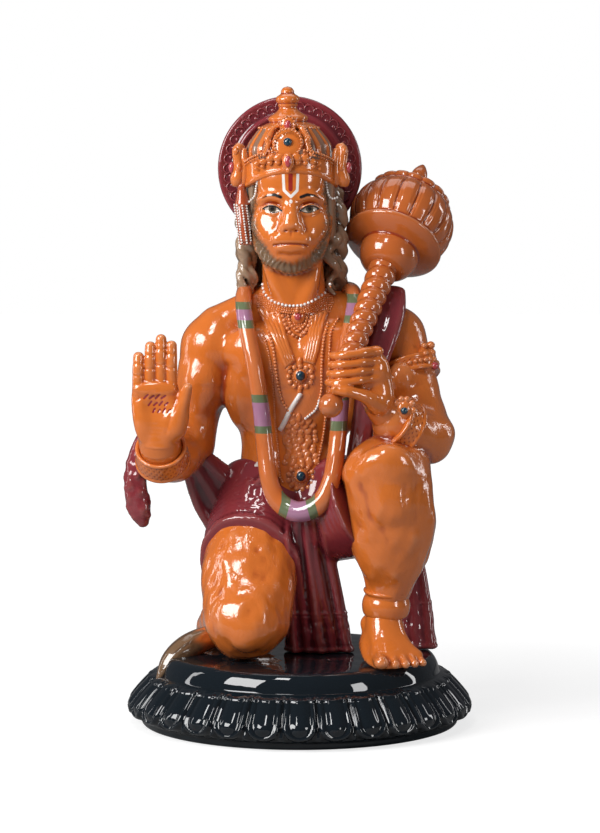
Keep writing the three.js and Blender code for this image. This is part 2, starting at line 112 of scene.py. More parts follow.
def lattice(axes, size, seed):
    """Smooth noise from -1 to 1 on a grid, with lumps about size = (x, y, z) across."""
    rng = np.random.default_rng(seed)
    weights = []
    for axis, s in zip(axes, size):
        at = (np.ravel(axis) + 200) / s
        cell = np.floor(at).astype(int)
        cell -= cell.min()
        w = np.zeros((at.size, cell.max() + 2), np.float32)
        t = at - np.floor(at)
        t = t * t * (3 - 2 * t)
        w[np.arange(at.size), cell] = 1 - t
        w[np.arange(at.size), cell + 1] = t
        weights.append(w)
    knots = rng.uniform(-1, 1, [w.shape[1] for w in weights]).astype(np.float32)
    return np.einsum("ai,bj,ck,ijk->abc", *weights, knots, optimize=True)


class Clay:
    """A form as a field of distances on a grid: below 0 inside."""

    def __init__(self, low, high, cell):
        self.cell = cell
        self.low = np.array(low, float)
        self.axes = [np.arange(a, b + cell, cell, dtype=np.float32) for a, b in zip(low, high)]
        self.field = np.full([a.size for a in self.axes], FAR, np.float32)

    def window(self, low, high):
        cuts = tuple(slice(*np.searchsorted(a, (l, h))) for a, l, h in zip(self.axes, low, high))
        return cuts, np.ix_(*[a[c] for a, c in zip(self.axes, cuts)])

    def merge(self, cuts, made, blend, cut):
        old = self.field[cuts]
        if cut:
            old, made = -old, made
        gap = np.maximum(blend - np.abs(old - made), 0) / max(blend, 1e-6)
        new = np.minimum(old, made) - gap * gap * blend / 4
        self.field[cuts] = -new if cut else new

    def tube(self, rows, blend=0.8, side=(1, 0, 0), ends=0.8, cut=False, step=0.8):
        """A limb through [x, y, z, across, deep] rows, across being measured along side."""
        rows = spline(stations(rows), step)
        reach = rows[:, 3:].max(1, keepdims=True) + blend + 2.5 * self.cell
        cuts, (x, y, z) = self.window((rows[:, :3] - reach).min(0), (rows[:, :3] + reach).max(0))
        made = np.full(self.field[cuts].shape, FAR, np.float32)
        flat = [x.ravel(), y.ravel(), z.ravel()]
        for a, b, r in zip(rows[:-1], rows[1:], np.maximum(reach[:-1], reach[1:])):
            low, high = np.minimum(a, b)[:3] - r, np.maximum(a, b)[:3] + r
            near = tuple(slice(*np.searchsorted(f, (l, h))) for f, l, h in zip(flat, low, high))
            px, py, pz = (f.astype(np.float32) for f in np.ix_(*[f[n] for f, n in zip(flat, near)]))
            px, py, pz = px - a[0], py - a[1], pz - a[2]
            length = np.linalg.norm(b[:3] - a[:3])
            along = (b[:3] - a[:3]) / length
            first = np.array(side, float)
            first = unit(first - along * first.dot(along))
            second = np.cross(along, first)
            way = px * along[0] + py * along[1] + pz * along[2]
            t = np.clip(way / length, 0, 1)
            across, deep = a[3] + t * (b[3] - a[3]), a[4] + t * (b[4] - a[4])
            end = ends * (across + deep) / 2
            p = (px * first[0] + py * first[1] + pz * first[2]) / across
            q = (px * second[0] + py * second[1] + pz * second[2]) / deep
            r = (way - t * length) / end
            out = np.sqrt(p * p + q * q + r * r + 1e-8)
            slope = np.sqrt((p / across) ** 2 + (q / deep) ** 2 + (r / end) ** 2 + 1e-8)
            made[near] = np.minimum(made[near], out * (out - 1) / slope)
        self.merge(cuts, made, blend, cut)

    def egg(self, centre, radii, turn=(0, 0, 0), blend=0.8, cut=False):
        reach = max(radii) + blend + 2.5 * self.cell
        cuts, (x, y, z) = self.window(np.array(centre) - reach, np.array(centre) + reach)
        x, y, z = x - centre[0], y - centre[1], z - centre[2]
        m = np.array(Euler([math.radians(t) for t in turn]).to_matrix())
        p, q, r = ((x * m[0][i] + y * m[1][i] + z * m[2][i]) / radii[i] for i in range(3))
        out = np.sqrt(p * p + q * q + r * r + 1e-8)
        slope = np.sqrt((p / radii[0]) ** 2 + (q / radii[1]) ** 2 + (r / radii[2]) ** 2 + 1e-8)
        self.merge(cuts, out * (out - 1) / slope, blend, cut)

    def press(self, low, high, depth):
        """Pushes the surface in by depth(x, y, z) inside a box."""
        cuts, (x, y, z) = self.window(low, high)
        self.field[cuts] += depth(x, y, z)

    def score(self, points, width, depth, low, high):
        """A groove, or a ridge where depth is below 0, along [x, z] points seen from the front."""
        self.press(low, high, lambda x, y, z: depth * smooth(width, 0, line_gap(x, z, points)) + 0 * y)

    def hem(self, place, facing, half_width, raised, rib_pitch, rib_depth):
        """Cuts the cloth where it faces away past place, and leaves a raised hem with ribs beside it."""
        x, y, z = np.ix_(*self.axes)
        past = (
            (x - place[0]) * facing[0] + (y - place[1]) * facing[1] + (z - place[2]) * facing[2]
        ).astype(np.float32)
        ribs = rib_depth * np.sin(
            past * 2 * np.pi / rib_pitch
        ) * smooth(-9, -4, past) * smooth(-0.4, -1.4, past)
        edge = np.maximum(self.field - raised, np.abs(past + half_width) - half_width)
        self.field = np.minimum(np.maximum(self.field + ribs, past), edge)

    def rough(self, size, depth, seed, low=(-99,) * 3, high=(99,) * 3):
        """Lumps about size across and depth deep."""
        cuts, grids = self.window(low, high)
        self.field[cuts] += depth * lattice(grids, size, seed)

    def above(self, z, way=1):
        """Cuts away what is above z, or what is below it where way is -1."""
        plane = (self.axes[2] - z)[None, None, :] * way
        self.field = np.maximum(self.field, plane.astype(np.float32))

    def blurred(self, times):
        out = np.clip(self.field, -2, 2)
        for _ in range(times):
            for axis in range(3):
                out = np.moveaxis(out, axis, 0)
                mid = out[1:-1] * 2 + out[:-2] + out[2:]
                out = np.concatenate([out[:1], mid / 4, out[-1:]])
                out = np.moveaxis(out, 0, axis)
        return out

    def read(self, field, points):
        at = (points - self.low) / self.cell
        base = np.clip(np.floor(at).astype(int), 0, np.array(field.shape) - 2)
        t = at - base
        total = 0
        for dx in (0, 1):
            for dy in (0, 1):
                for dz in (0, 1):
                    w = np.abs(1 - dx - t[:, 0]) * np.abs(1 - dy - t[:, 1]) * np.abs(1 - dz - t[:, 2])
                    total = total + w * field[base[:, 0] + dx, base[:, 1] + dy, base[:, 2] + dz]
        return total

    def skin(self, name, material, marks=None, reach=5):
        """The clay's surface as a piece. marks(x, y, z) gives painted attributes at its points."""
        grid = openvdb.FloatGrid()
        grid.background = FAR
        grid.copyFromArray(np.ascontiguousarray(self.field), tolerance=0.0)
        points, quads = grid.convertToQuads(isovalue=0.0)
        points = self.low + points.astype(float) * self.cell
        made = bpy.data.meshes.new(name)
        made.from_pydata(metres(points).tolist(), [], quads.tolist())
        shaped = bmesh.new()
        shaped.from_mesh(made)
        bmesh.ops.recalc_face_normals(shaped, faces=shaped.faces[:])
        shaped.to_mesh(made)
        shaped.free()
        # How hollow each point is, which the glazes use for pooled glaze and painted shade in hollows.
        hollow = -self.read(self.blurred(reach), points) / self.cell
        attributes = {"hollow": hollow}
        if marks:
            attributes.update(marks(*points.T))
        for key, values in attributes.items():
            made.attributes.new(key, "FLOAT", "POINT").data.foreach_set("value", values.astype(np.float32))
        return add_piece(name, made, material)


# Pieces and bmesh shapes.


def add_piece(name, mesh, material, node="figure"):
    obj = bpy.data.objects.new(name, mesh)
    bpy.context.scene.collection.objects.link(obj)
    mesh.polygons.foreach_set("use_smooth", [True] * len(mesh.polygons))
    mesh.materials.append(material)
    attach(obj, "root")
    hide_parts(node)
    return obj


# Glazes.


class Nodes:
    """Adds nodes to a tree, each with its inputs set or linked by name."""

    def __init__(self, tree):
        self.tree = tree

    def add(self, kind, inputs=None, **settings):
        node = self.tree.nodes.new(kind)
        for key, value in settings.items():
            setattr(node, key, value)
        for key, value in (inputs or {}).items():
            if isinstance(value, bpy.types.NodeSocket):
                self.tree.links.new(value, node.inputs[key])
            else:
                node.inputs[key].default_value = value
        return node

    def mix(self, factor, under, over):
        node = self.add("ShaderNodeMix", data_type="RGBA")
        for socket, value in zip((node.inputs[0], node.inputs[6], node.inputs[7]), (factor, under, over)):
            if isinstance(value, bpy.types.NodeSocket):
                self.tree.links.new(value, socket)
            else:
                socket.default_value = value
        return node.outputs[2]

    def math(self, operation, *values):
        node = self.add("ShaderNodeMath", operation=operation)
        for socket, value in zip(node.inputs, values):
            if isinstance(value, bpy.types.NodeSocket):
                self.tree.links.new(value, socket)
            else:
                socket.default_value = value
        return node.outputs[0]

    def noise(self, place, scale, detail):
        made = self.add("ShaderNodeTexNoise", {"Vector": place, "Scale": scale, "Detail": detail})
        return made.outputs["Fac"]

    def ramp(self, value, low, high, to_low=0.0, to_high=1.0):
        made = self.add(
            "ShaderNodeMapRange",
            {"Value": value, "From Min": low, "From Max": high, "To Min": to_low, "To Max": to_high},
            interpolation_type="SMOOTHSTEP",
        )
        return made.outputs["Result"]


def new_group(name, inputs, outputs):
    tree = bpy.data.node_groups.new(name, "ShaderNodeTree")
    for key, kind, value in inputs:
        socket = tree.interface.new_socket(key, in_out="INPUT", socket_type=kind)
        socket.default_value = value
    for key, kind in outputs:
        tree.interface.new_socket(key, in_out="OUTPUT", socket_type=kind)
    nodes = Nodes(tree)
    return tree, nodes, nodes.add("NodeGroupInput"), nodes.add("NodeGroupOutput")


def pooling_and_shade_group():
    """Glaze that is darker in hollows, partly glaze pooled there and partly painted shade, and lighter on
    edges, partly thinner glaze and partly a painted highlight, with faint mottling.
    """
    tree, nodes, given, out = new_group(
        "pooled_glaze_and_painted_shade",
        [
            ("Colour", "NodeSocketColor", (0.5, 0.5, 0.5, 1)),
            ("Deep", "NodeSocketColor", (0.1, 0.1, 0.1, 1)),
            ("Hollow", "NodeSocketFloat", 0.0), ("Mottle", "NodeSocketFloat", 0.15),
            ("Thin And Highlight", "NodeSocketFloat", 0.25),
        ],
        [("Colour", "NodeSocketColor")],
    )
    place = nodes.add("ShaderNodeTexCoord").outputs["Object"]
    broad = nodes.noise(place, 38.0, 3.0)
    fine = nodes.noise(place, 240.0, 2.0)
    both = nodes.math("SUBTRACT", nodes.math("ADD", broad, fine), 1.0)
    cloud = nodes.math("MULTIPLY", both, given.outputs["Mottle"])
    # Darker in hollows: glaze that pools there, and painted shade.
    pooled_and_shaded = nodes.ramp(nodes.math("ADD", given.outputs["Hollow"], cloud), 0.02, 0.4, 0.0, 0.85)
    # Lighter on convex edges: thinner glaze, and a painted highlight.
    thin_and_highlight = nodes.math("MULTIPLY", nodes.ramp(given.outputs["Hollow"], -0.1, -0.6), given.outputs["Thin And Highlight"])
    colour = nodes.mix(pooled_and_shaded, given.outputs["Colour"], given.outputs["Deep"])
    light = nodes.mix(0.45, given.outputs["Colour"], (1.0, 0.75, 0.5, 1))
    nodes.tree.links.new(nodes.mix(thin_and_highlight, colour, light), out.inputs["Colour"])
    return tree


def painted_group():
    """One painted colour over another inside a line at Gap = 0."""
    tree, nodes, given, out = new_group(
        "painted_over",
        [
            ("Under", "NodeSocketColor", (0.5, 0.5, 0.5, 1)), ("Over", "NodeSocketColor", (0.1, 0.1, 0.1, 1)),
            ("Gap", "NodeSocketFloat", 1.0), ("Edge", "NodeSocketFloat", 0.06),
        ],
        [("Colour", "NodeSocketColor")],
    )
    inside = nodes.add(
        "ShaderNodeMapRange",
        {
            "Value": given.outputs["Gap"], "From Min": given.outputs["Edge"],
            "From Max": nodes.math("MULTIPLY", given.outputs["Edge"], -1.0),
        },
        interpolation_type="SMOOTHSTEP",
    ).outputs["Result"]
    colour = nodes.mix(inside, given.outputs["Under"], given.outputs["Over"])
    nodes.tree.links.new(colour, out.inputs["Colour"])
    return tree


WAVE_HEIGHT = 0.0008
FUR_HEIGHT = 0.0012
RIB_HEIGHT = 0.0001


def surface_group():
    """The faint waviness of a fired glaze, and the brushed fur under it, as a height in metres."""
    tree, nodes, given, out = new_group(
        "glaze_surface",
        [
            ("Fur", "NodeSocketFloat", 0.0), ("Ribs", "NodeSocketFloat", 0.0),
            ("Pitch", "NodeSocketFloat", 900.0),
        ],
        [("Height", "NodeSocketFloat"), ("Roughness", "NodeSocketFloat")],
    )
    place = nodes.add("ShaderNodeTexCoord").outputs["Object"]
    wave = nodes.noise(place, 70.0, 1.0)
    long = nodes.add("ShaderNodeMapping", {"Vector": place, "Scale": (1.0, 1.0, 0.28)}).outputs["Vector"]
    warp = nodes.add("ShaderNodeTexNoise", {"Vector": place, "Scale": 45.0, "Detail": 1.0})
    bent = nodes.add("ShaderNodeMix", {"Factor": 0.03}, data_type="VECTOR", blend_type="MIX")
    nodes.tree.links.new(long, bent.inputs[4])
    nodes.tree.links.new(warp.outputs["Color"], bent.inputs[5])
    hairs = nodes.noise(bent.outputs[1], 420.0, 2.0)
    split = nodes.add("ShaderNodeSeparateXYZ", {"Vector": place})
    rib = nodes.math("SINE", nodes.math("MULTIPLY", split.outputs["Z"], given.outputs["Pitch"]))
    height = nodes.math("MULTIPLY", wave, WAVE_HEIGHT)
    for pattern, amount, deepest in ((hairs, "Fur", FUR_HEIGHT), (rib, "Ribs", RIB_HEIGHT)):
        raised = nodes.math("MULTIPLY", pattern, given.outputs[amount])
        height = nodes.math("ADD", height, nodes.math("MULTIPLY", raised, deepest))
    nodes.tree.links.new(height, out.inputs["Height"])
    nodes.tree.links.new(nodes.ramp(wave, 0.3, 0.8, 0.16, 0.24), out.inputs["Roughness"])
    return tree


POOLING_AND_SHADE, PAINTED, SURFACE = pooling_and_shade_group(), painted_group(), surface_group()


def glaze(name, colour, deep, paints=(), fur=0.0, ribs=0.0, mottle=0.05, thin_and_highlight=0.25, hollow=True, gloss=0.3):
    """A glossy glaze. paints are (attribute, colour) or (attribute, colour, edge), each over the last."""
    material = bpy.data.materials.new(name)
    material.use_nodes = True
    nodes = Nodes(material.node_tree)
    shader = material.node_tree.nodes["Principled BSDF"]
    group = nodes.add("ShaderNodeGroup", node_tree=POOLING_AND_SHADE)
    group.inputs["Colour"].default_value = (*colour, 1)
    group.inputs["Deep"].default_value = (*deep, 1)
    group.inputs["Mottle"].default_value = mottle
    # How much lighter edges turn: thinner glaze and a painted highlight.
    group.inputs["Thin And Highlight"].default_value = thin_and_highlight
    # The hollow attribute makes the glaze darker in hollows: pooled glaze and painted shade.
    if hollow:
        read = nodes.add("ShaderNodeAttribute", attribute_name="hollow")
        material.node_tree.links.new(read.outputs["Fac"], group.inputs["Hollow"])
    painted = group.outputs["Colour"]
    for attribute, over, *edge in paints:
        read = nodes.add("ShaderNodeAttribute", attribute_name=attribute)
        layer = nodes.add("ShaderNodeGroup", node_tree=PAINTED)
        layer.inputs["Over"].default_value = (*over, 1)
        layer.inputs["Edge"].default_value = edge[0] if edge else 0.06
        material.node_tree.links.new(painted, layer.inputs["Under"])
        material.node_tree.links.new(read.outputs["Fac"], layer.inputs["Gap"])
        painted = layer.outputs["Colour"]
    surface = nodes.add("ShaderNodeGroup", node_tree=SURFACE)
    surface.inputs["Fur"].default_value = fur
    surface.inputs["Ribs"].default_value = ribs
    raised = nodes.add(
        "ShaderNodeBump", {"Strength": 0.6, "Distance": 1.0, "Height": surface.outputs["Height"]}
    )
    links = material.node_tree.links
    links.new(painted, shader.inputs["Base Color"])
    links.new(surface.outputs["Roughness"], shader.inputs["Roughness"])
    links.new(raised.outputs["Normal"], shader.inputs["Normal"])
    shader.inputs["Specular IOR Level"].default_value = gloss
    shader.inputs["Coat Weight"].default_value = 1.0
    shader.inputs["Coat Roughness"].default_value = 0.03
    shader.inputs["Coat IOR"].default_value = 1.55
    links.new(raised.outputs["Normal"], shader.inputs["Coat Normal"])
    return material


ORANGE = (0.63, 0.157, 0.024)
# RUSSET, AMBER, WINE and UMBER are the darker colours that hollows take: pooled glaze and painted shade.
RUSSET = (0.25, 0.022, 0.005)
AMBER = (0.42, 0.075, 0.012)
MAROON = (0.22, 0.03, 0.038)
WINE = (0.07, 0.007, 0.012)
BROWN = (0.18, 0.105, 0.055)
UMBER = (0.04, 0.02, 0.01)
WHITE = (0.82, 0.78, 0.74)
LILAC = (0.36, 0.17, 0.27)
GREEN = (0.13, 0.16, 0.08)
TEAL = (0.004, 0.035, 0.06)
PINK = (0.42, 0.05, 0.06)
INK = (0.012, 0.009, 0.009)
PLINTH_BLACK = (0.006, 0.01, 0.014)


# The floor, the light and the camera.


def area_light(name, towards, distance, size, energy, target=(0, 0, 0.25)):
    light = bpy.data.lights.new(name, "AREA")
    light.shape = "RECTANGLE"
    light.size, light.size_y = size
    light.energy = energy
    obj = bpy.data.objects.new(name, light)
    bpy.context.scene.collection.objects.link(obj)
    direction = Vector(towards).normalized()
    obj.location = Vector(target) + direction * distance
    obj.rotation_euler = direction.to_track_quat("Z", "Y").to_euler()
    return obj


CAMERA_PLACE = (0.0003, -2.4, 0.452)
CAMERA_TILT = 85
CAMERA_LENS = 132.33
LIGHTS = {
    "key": ((-0.7, -0.58, 0.45), 1.4, (0.72, 0.72), 21),
    "window": ((-0.2, -0.55, 0.8), 1.5, (0.25, 0.35), 4.5),
    "side": ((0.95, 0.25, 0.25), 1.5, (0.14, 1.1), 3.5),
    "left_side": ((-0.97, 0.2, 0.2), 1.6, (0.14, 1.1), 3),
    "right_window": ((0.72, -0.66, 0.2), 1.6, (0.25, 0.6), 4.5, (0.05, 0, 0.17)),
    "top": ((0.05, 0.3, 1), 1.5, (1.2, 0.8), 4),
}


def backdrop(scene):
    """A white backdrop that gives only a little light."""
    world = bpy.data.worlds.new("studio")
    scene.world = world
    world.use_nodes = True
    nodes = Nodes(world.node_tree)
    background = world.node_tree.nodes["Background"]
    seen = nodes.add("ShaderNodeLightPath").outputs["Is Camera Ray"]
    colour = nodes.mix(seen, (0.095, 0.095, 0.1, 1), (1.0, 1.0, 1.0, 1))
    world.node_tree.links.new(colour, background.inputs["Color"])


def paper():
    """White paper with a faint grain, which turns plain white further out."""
    material = bpy.data.materials.new("paper")
    material.use_nodes = True
    links = material.node_tree.links
    shader = material.node_tree.nodes["Principled BSDF"]
    nodes = Nodes(material.node_tree)
    place = nodes.add("ShaderNodeTexCoord").outputs["Object"]
    grain = nodes.add("ShaderNodeTexNoise", {"Vector": place, "Scale": 300.0}).outputs["Fac"]
    tone = nodes.mix(grain, (0.32, 0.32, 0.32, 1), (0.35, 0.35, 0.35, 1))
    links.new(tone, shader.inputs["Base Color"])
    far = nodes.add("ShaderNodeVectorMath", {0: place}, operation="LENGTH").outputs["Value"]
    white = nodes.mix(nodes.ramp(far, 0.2, 0.9), (0.74, 0.74, 0.74, 1), (1.0, 1.0, 1.0, 1))
    lit = nodes.add("ShaderNodeLightPath").outputs["Is Camera Ray"]
    links.new(nodes.mix(lit, (0.0, 0.0, 0.0, 1), white), shader.inputs["Emission Color"])
    shader.inputs["Emission Strength"].default_value = 1.0
    shader.inputs["Roughness"].default_value = 0.9
    shader.inputs["Specular IOR Level"].default_value = 0.1
    return material


def lay_floor(scene):
    shape = bmesh.new()
    bmesh.ops.create_circle(shape, cap_ends=True, segments=96, radius=6)
    mesh = bpy.data.meshes.new("floor")
    shape.to_mesh(mesh)
    shape.free()
    floor = bpy.data.objects.new("floor", mesh)
    scene.collection.objects.link(floor)
    mesh.materials.append(paper())


def place_camera(scene):
    camera = bpy.data.objects.new("camera", bpy.data.cameras.new("camera"))
    scene.collection.objects.link(camera)
    camera.location = CAMERA_PLACE
    camera.rotation_euler = (math.radians(CAMERA_TILT), 0, 0)
    camera.data.sensor_fit = "VERTICAL"
    camera.data.sensor_height = 36
    camera.data.lens = CAMERA_LENS
    camera.data.clip_end = 50
    scene.camera = camera


def studio():
    scene = bpy.context.scene
    scene.view_settings.view_transform = "Standard"
    backdrop(scene)
    lay_floor(scene)
    for name, settings in LIGHTS.items():
        area_light(name, *settings)
    place_camera(scene)


# The porcelain body.


def trunk(clay):
    """Waist, chest, shoulders, neck and belly."""
    clay.tube(
        [
            [-1.8, 3.4, 28, 9.6, 6.8], [-1.8, 2.8, 35, 9.0, 6.3], [-1.4, 2.4, 41.5, 10.1, 6.7],
            [-0.8, 2.2, 48.5, 12, 7.9], [-0.4, 2.8, 54.5, 12.4, 7.3], [-0.6, 3.4, 59.4, 9.4, 5.4],
        ],
        ends=0.5,
    )
    clay.tube(
        [
            [-14.8, 3.6, 58, 3.5], [-7.4, 3.8, 61.2, 3.6], [-1.2, 4.2, 63, 4.2], [5.4, 3.8, 60.8, 3.6],
            [13, 3.6, 57.6, 3.5],
        ],
        blend=2,
        side=(0, 1, 0),
    )
    clay.tube([[-1.0, 2.6, 58, 5.6], [-1.6, 1.0, 65, 5.0]], blend=1.5)
    for way in (-1, 1):
        x = -0.7 + way * 6.8
        clay.egg((x, -3.0, 53.4), (6.4, 2.5, 4.6), (0, way * -8, way * 16), 2.3)
        clay.egg((x + way * 3.2, 1, 46), (3.4, 4.6, 6), (0, way * 8, 0), 2)
    clay.egg((-0.5, -1.4, 31.5), (6.2, 3.4, 6.5), blend=2)


def palm_arm(clay):
    """The arm with the open palm."""
    clay.egg((-15.6, 3.4, 54.4), (5.7, 5.3, 5.8), blend=1.6)
    clay.tube(
        [
            [-16.3, 3.4, 54, 4.8], [-17.4, 3.4, 48.5, 4.9], [-18.8, 3.4, 42.5, 4.3], [-20.2, 3.0, 36.6, 4.3],
        ],
        blend=1.6,
    )
    clay.egg((-17.4, 0.6, 47.4), (3.7, 3.2, 5.2), (8, 0, 0), 1)
    clay.egg((-19.6, 5.6, 45.5), (2.8, 2.8, 5.6), (0, 10, 0), 1.2)
    clay.tube(
        [[-20.6, 2.8, 36, 4.3], [-22.6, -2.4, 35.2, 4.6], [-24.1, -6.0, 35.6, 4.1], [-24.5, -8.4, 36.6, 3.7]],
        blend=1.6,
    )


def mace_arm(clay):
    """The arm that holds the mace."""
    clay.egg((16.2, 3.0, 55.6), (5.5, 5.2, 5.9), blend=1.6)
    clay.tube(
        [[16.6, 3.0, 56, 4.8], [18.6, 0.8, 50, 4.8], [20.4, -2.8, 44.4, 4.3], [22.1, -6.4, 39.4, 4.4]],
        blend=1.6,
    )
    clay.egg((17.4, -3, 47.4), (3.4, 3.2, 5), (30, 0, 0), 1)
    clay.tube(
        [[22.3, -6.8, 38.4, 4.3], [18.4, -10.6, 40.5, 4.4], [15.4, -12.6, 42.6, 3.7]],
        blend=1.8,
    )


def kneeling_leg(clay):
    """The kneeling leg."""
    clay.tube(
        [[-6.6, 2.4, 24, 7.8, 7.2], [-9.0, -3.6, 16, 8.4, 7.6], [-9.7, -9.4, 7.6, 7.6, 7.1]],
        ends=1,
        blend=1.5,
    )
    clay.egg((-9.2, -14.2, 8.2), (4.6, 2.8, 5.4), (-25, 0, 0), 2)
    clay.egg((-5.6, -8, 12.5), (3.6, 4.6, 6.4), (-25, 6, 0), 2)
    clay.tube([[-10.2, -5, 5.2, 5.3, 4.9], [-12.8, 3, 4.7, 4.3], [-15.4, 8.8, 3.9, 2.9, 3.1]], blend=1)
    clay.tube(
        [[-15.8, 8.6, 4.6, 2.4, 2.6], [-16.8, 11.6, 3.2, 2.5, 2.3], [-16.6, 13.6, 1.6, 2.6, 1.5]],
        blend=1,
    )


def raised_leg(clay):
    """The raised leg down to its anklet."""
    clay.tube(
        [
            [14.6, -11.8, 33.3, 7.7, 7.0], [15.6, -12, 27, 7.2, 6.6], [15.8, -10.8, 20.4, 6.3, 5.9],
            [15.2, -9.6, 14, 4.3, 4.3], [14.7, -9, 9.6, 3.4, 3.6],
        ],
        ends=0.9,
    )
    clay.egg((14.6, -16.6, 34.2), (5, 2.9, 4.8), (20, 0, 0), 1.6)
    clay.egg((15, -17.4, 28.4), (3, 2, 3.4), (0, 0, 0), 1.8)
    clay.egg((18.6, -11.4, 23.4), (3.8, 4.4, 7), (0, 4, 0), 2)
    clay.egg((12, -9.4, 22.6), (3.4, 4.6, 6.4), (0, -4, 0), 2)


def fur(clay):
    """Short fur, modelled as soft tufts."""
    clay.rough((2.0, 2.0, 3.4), 0.13, 3, high=(99, 99, 52))
    clay.rough((3.8, 3.8, 3.0), 0.22, 5, high=(99, 99, 48))
    clay.rough((1.5, 1.5, 4.2), 0.2, 6, high=(99, -6, 34))
    clay.rough((1.2, 1.2, 2.0), 0.1, 4, high=(99, -6, 34))


def body(material):
    clay = Clay((-31, -21, -0.4), (28, 13.5, 67), 0.4)
    for limb in (trunk, palm_arm, mace_arm, kneeling_leg, raised_leg, fur):
        limb(clay)
    return clay.skin("body", material)


def open_hand(material):
    clay = Clay((-31, -17.5, 32), (-17.5, -5, 59.4), 0.2)
    clay.tube(
        [
            [-24.2, -6.6, 35.9, 4.3], [-24.7, -10.4, 37.8, 3.6, 3.4], [-24.7, -11.4, 40.4, 3.9, 2.7],
            [-24.8, -12.3, 43.4, 4.3, 1.9], [-25.2, -12.8, 46.2, 4.3, 1.5], [-25.3, -12.9, 48.4, 3.9, 1.15],
        ],
        ends=0.5,
    )
    clay.egg((-22.2, -13.0, 42.0), (2.2, 1.4, 3.4), (0, 24, 0), 0.9)
    clay.egg((-27.6, -12.9, 42.6), (1.5, 1.2, 3.8), (0, -4, 0), 0.9)
    clay.egg((-25.4, -13.9, 48), (3.6, 0.5, 1.0), (0, 0, 0), 0.8)
    clay.egg((-25.2, -14.6, 44.9), (2.0, 0.8, 1.8), blend=0.9, cut=True)
    for x, root, lean, tip in (
        (-28.25, 48.0, 0.05, 54.45), (-26.3, 48.8, 0.15, 56.25), (-24.35, 49.2, 0.05, 57.5),
        (-22.6, 49.0, 0.1, 56.4),
    ):
        middle = (root + tip) / 2
        clay.tube(
            [
                [x, -12.9, root - 0.8, 1.08, 1.05], [x + lean / 2, -13.15, middle, 1.04, 0.98],
                [x + lean, -13.0, tip - 0.95, 0.93, 0.8],
            ],
            ends=1,
            blend=0.12,
            step=0.5,
        )
        for share in (0.36, 0.68):
            z = root + (tip - root) * share
            clay.score(
                [
                    [x - 0.8, z], [x, z - 0.08], [x + 0.8, z]
                ], 0.34, 0.11, (x - 1, -16, z - 1), (x + 1, -12.6, z + 1)
            )
    clay.tube(
        [[-21.9, -12.6, 41.0, 1.8], [-20.8, -13.5, 44.4, 1.3, 1.3], [-19.7, -14.4, 48.3, 0.85, 0.8]],
        ends=1,
        blend=1.0,
    )
    front = (-31, -16, 38), (-18, -11.6, 52)
    clay.score([[-28.6, 46.0], [-26.6, 47.2], [-24.6, 47.9]], 0.4, 0.06, *front)
    clay.score([[-21.6, 46.2], [-22.4, 44], [-23.4, 40.6]], 0.6, 0.1, *front)
    strokes = [
        [[x - 0.34 + 0.16 * row, z - 0.34], [x + 0.36, z + 0.34 - 0.2 * (column % 2)]]
        for row, z in enumerate((46.7, 45.5, 44.3))
        for column, x in enumerate(np.linspace(-26.9 + 0.6 * row, -23.9 + 0.4 * row, 4))
    ]
    for stroke in strokes:
        clay.score(stroke, 0.24, 0.12, *front)

    def marks(x, y, z):
        ink = np.min([line_gap(x, z, stroke) for stroke in strokes], axis=0) - 0.17
        return {"ink": np.where(y < -12.2, ink, 9)}

    return clay.skin("open_hand", material, marks)


def fist(material):
    clay = Clay((2.5, -21.2, 38), (20, -7.5, 57.6), 0.2)
    # The wrist and the back of the hand.
    clay.tube(
        [
            [15.9, -12.2, 42.4, 3.5, 3.4], [13.6, -13.5, 45.0, 2.9, 3.0], [12.6, -14.3, 48, 3.0, 2.8],
            [12.0, -14.9, 51, 3.1, 2.5], [11.4, -15.0, 53.0, 2.5, 2.0],
        ],
        ends=0.7,
        blend=0.6,
    )
    clay.egg((12.7, -15.6, 51.4), (2.2, 2.0, 3.2), (10, 0, 4), 0.7)
    clay.egg((13.2, -15.2, 47.0), (2.3, 2.1, 3.2), (-14, 10, 0), 0.8)
    clay.egg((9.6, -16.6, 50.4), (2.6, 1.5, 3.0), blend=0.5)
    for finger, z in enumerate((54.3, 52.7, 51.15, 49.65)):
        x = -0.24 * finger
        clay.tube(
            [
                [12.6 + x, -16.6, z + 0.5, 0.95, 0.85], [10.6 + x, -18.35, z + 0.3, 0.92, 0.84],
                [9.0 + x, -19.0, z + 0.05, 0.78, 0.72], [7.2 + x, -19.1, z - 0.1, 0.82, 0.76],
                [5.9 + x, -18.3, z - 0.25, 0.76, 0.7], [5.2 + x, -16.8, z - 0.3, 0.7],
            ],
            side=(0, 1, 0.2),
            blend=0.1,
            ends=1,
            step=0.5,
        )
        clay.egg((13.0 + x, -17.0, z + 0.45), (1.0, 0.75, 0.72), (0, 0, 20), 0.5)
        clay.egg((10.5 + x, -18.6, z + 0.3), (0.75, 0.6, 0.72), (0, 0, 12), 0.3)
    clay.tube(
        [
            [13.0, -16.2, 45.6, 1.9], [11.2, -17.9, 46.8, 1.45, 1.3], [9.0, -19.2, 47.7, 1.05, 0.95],
            [7.4, -19.7, 48.1, 1.15, 1.0], [5.6, -19.6, 48.3, 0.85, 0.8],
        ],
        side=(0, 1, 0.2),
        blend=0.4,
        ends=1,
    )
    clay.egg((5.6, -20.35, 48.5), (0.6, 0.18, 0.48), (10, 0, 14), 0.1)
    clay.rough((1.7, 1.7, 1.7), 0.05, 23)
    return clay.skin("fist", material, reach=2)


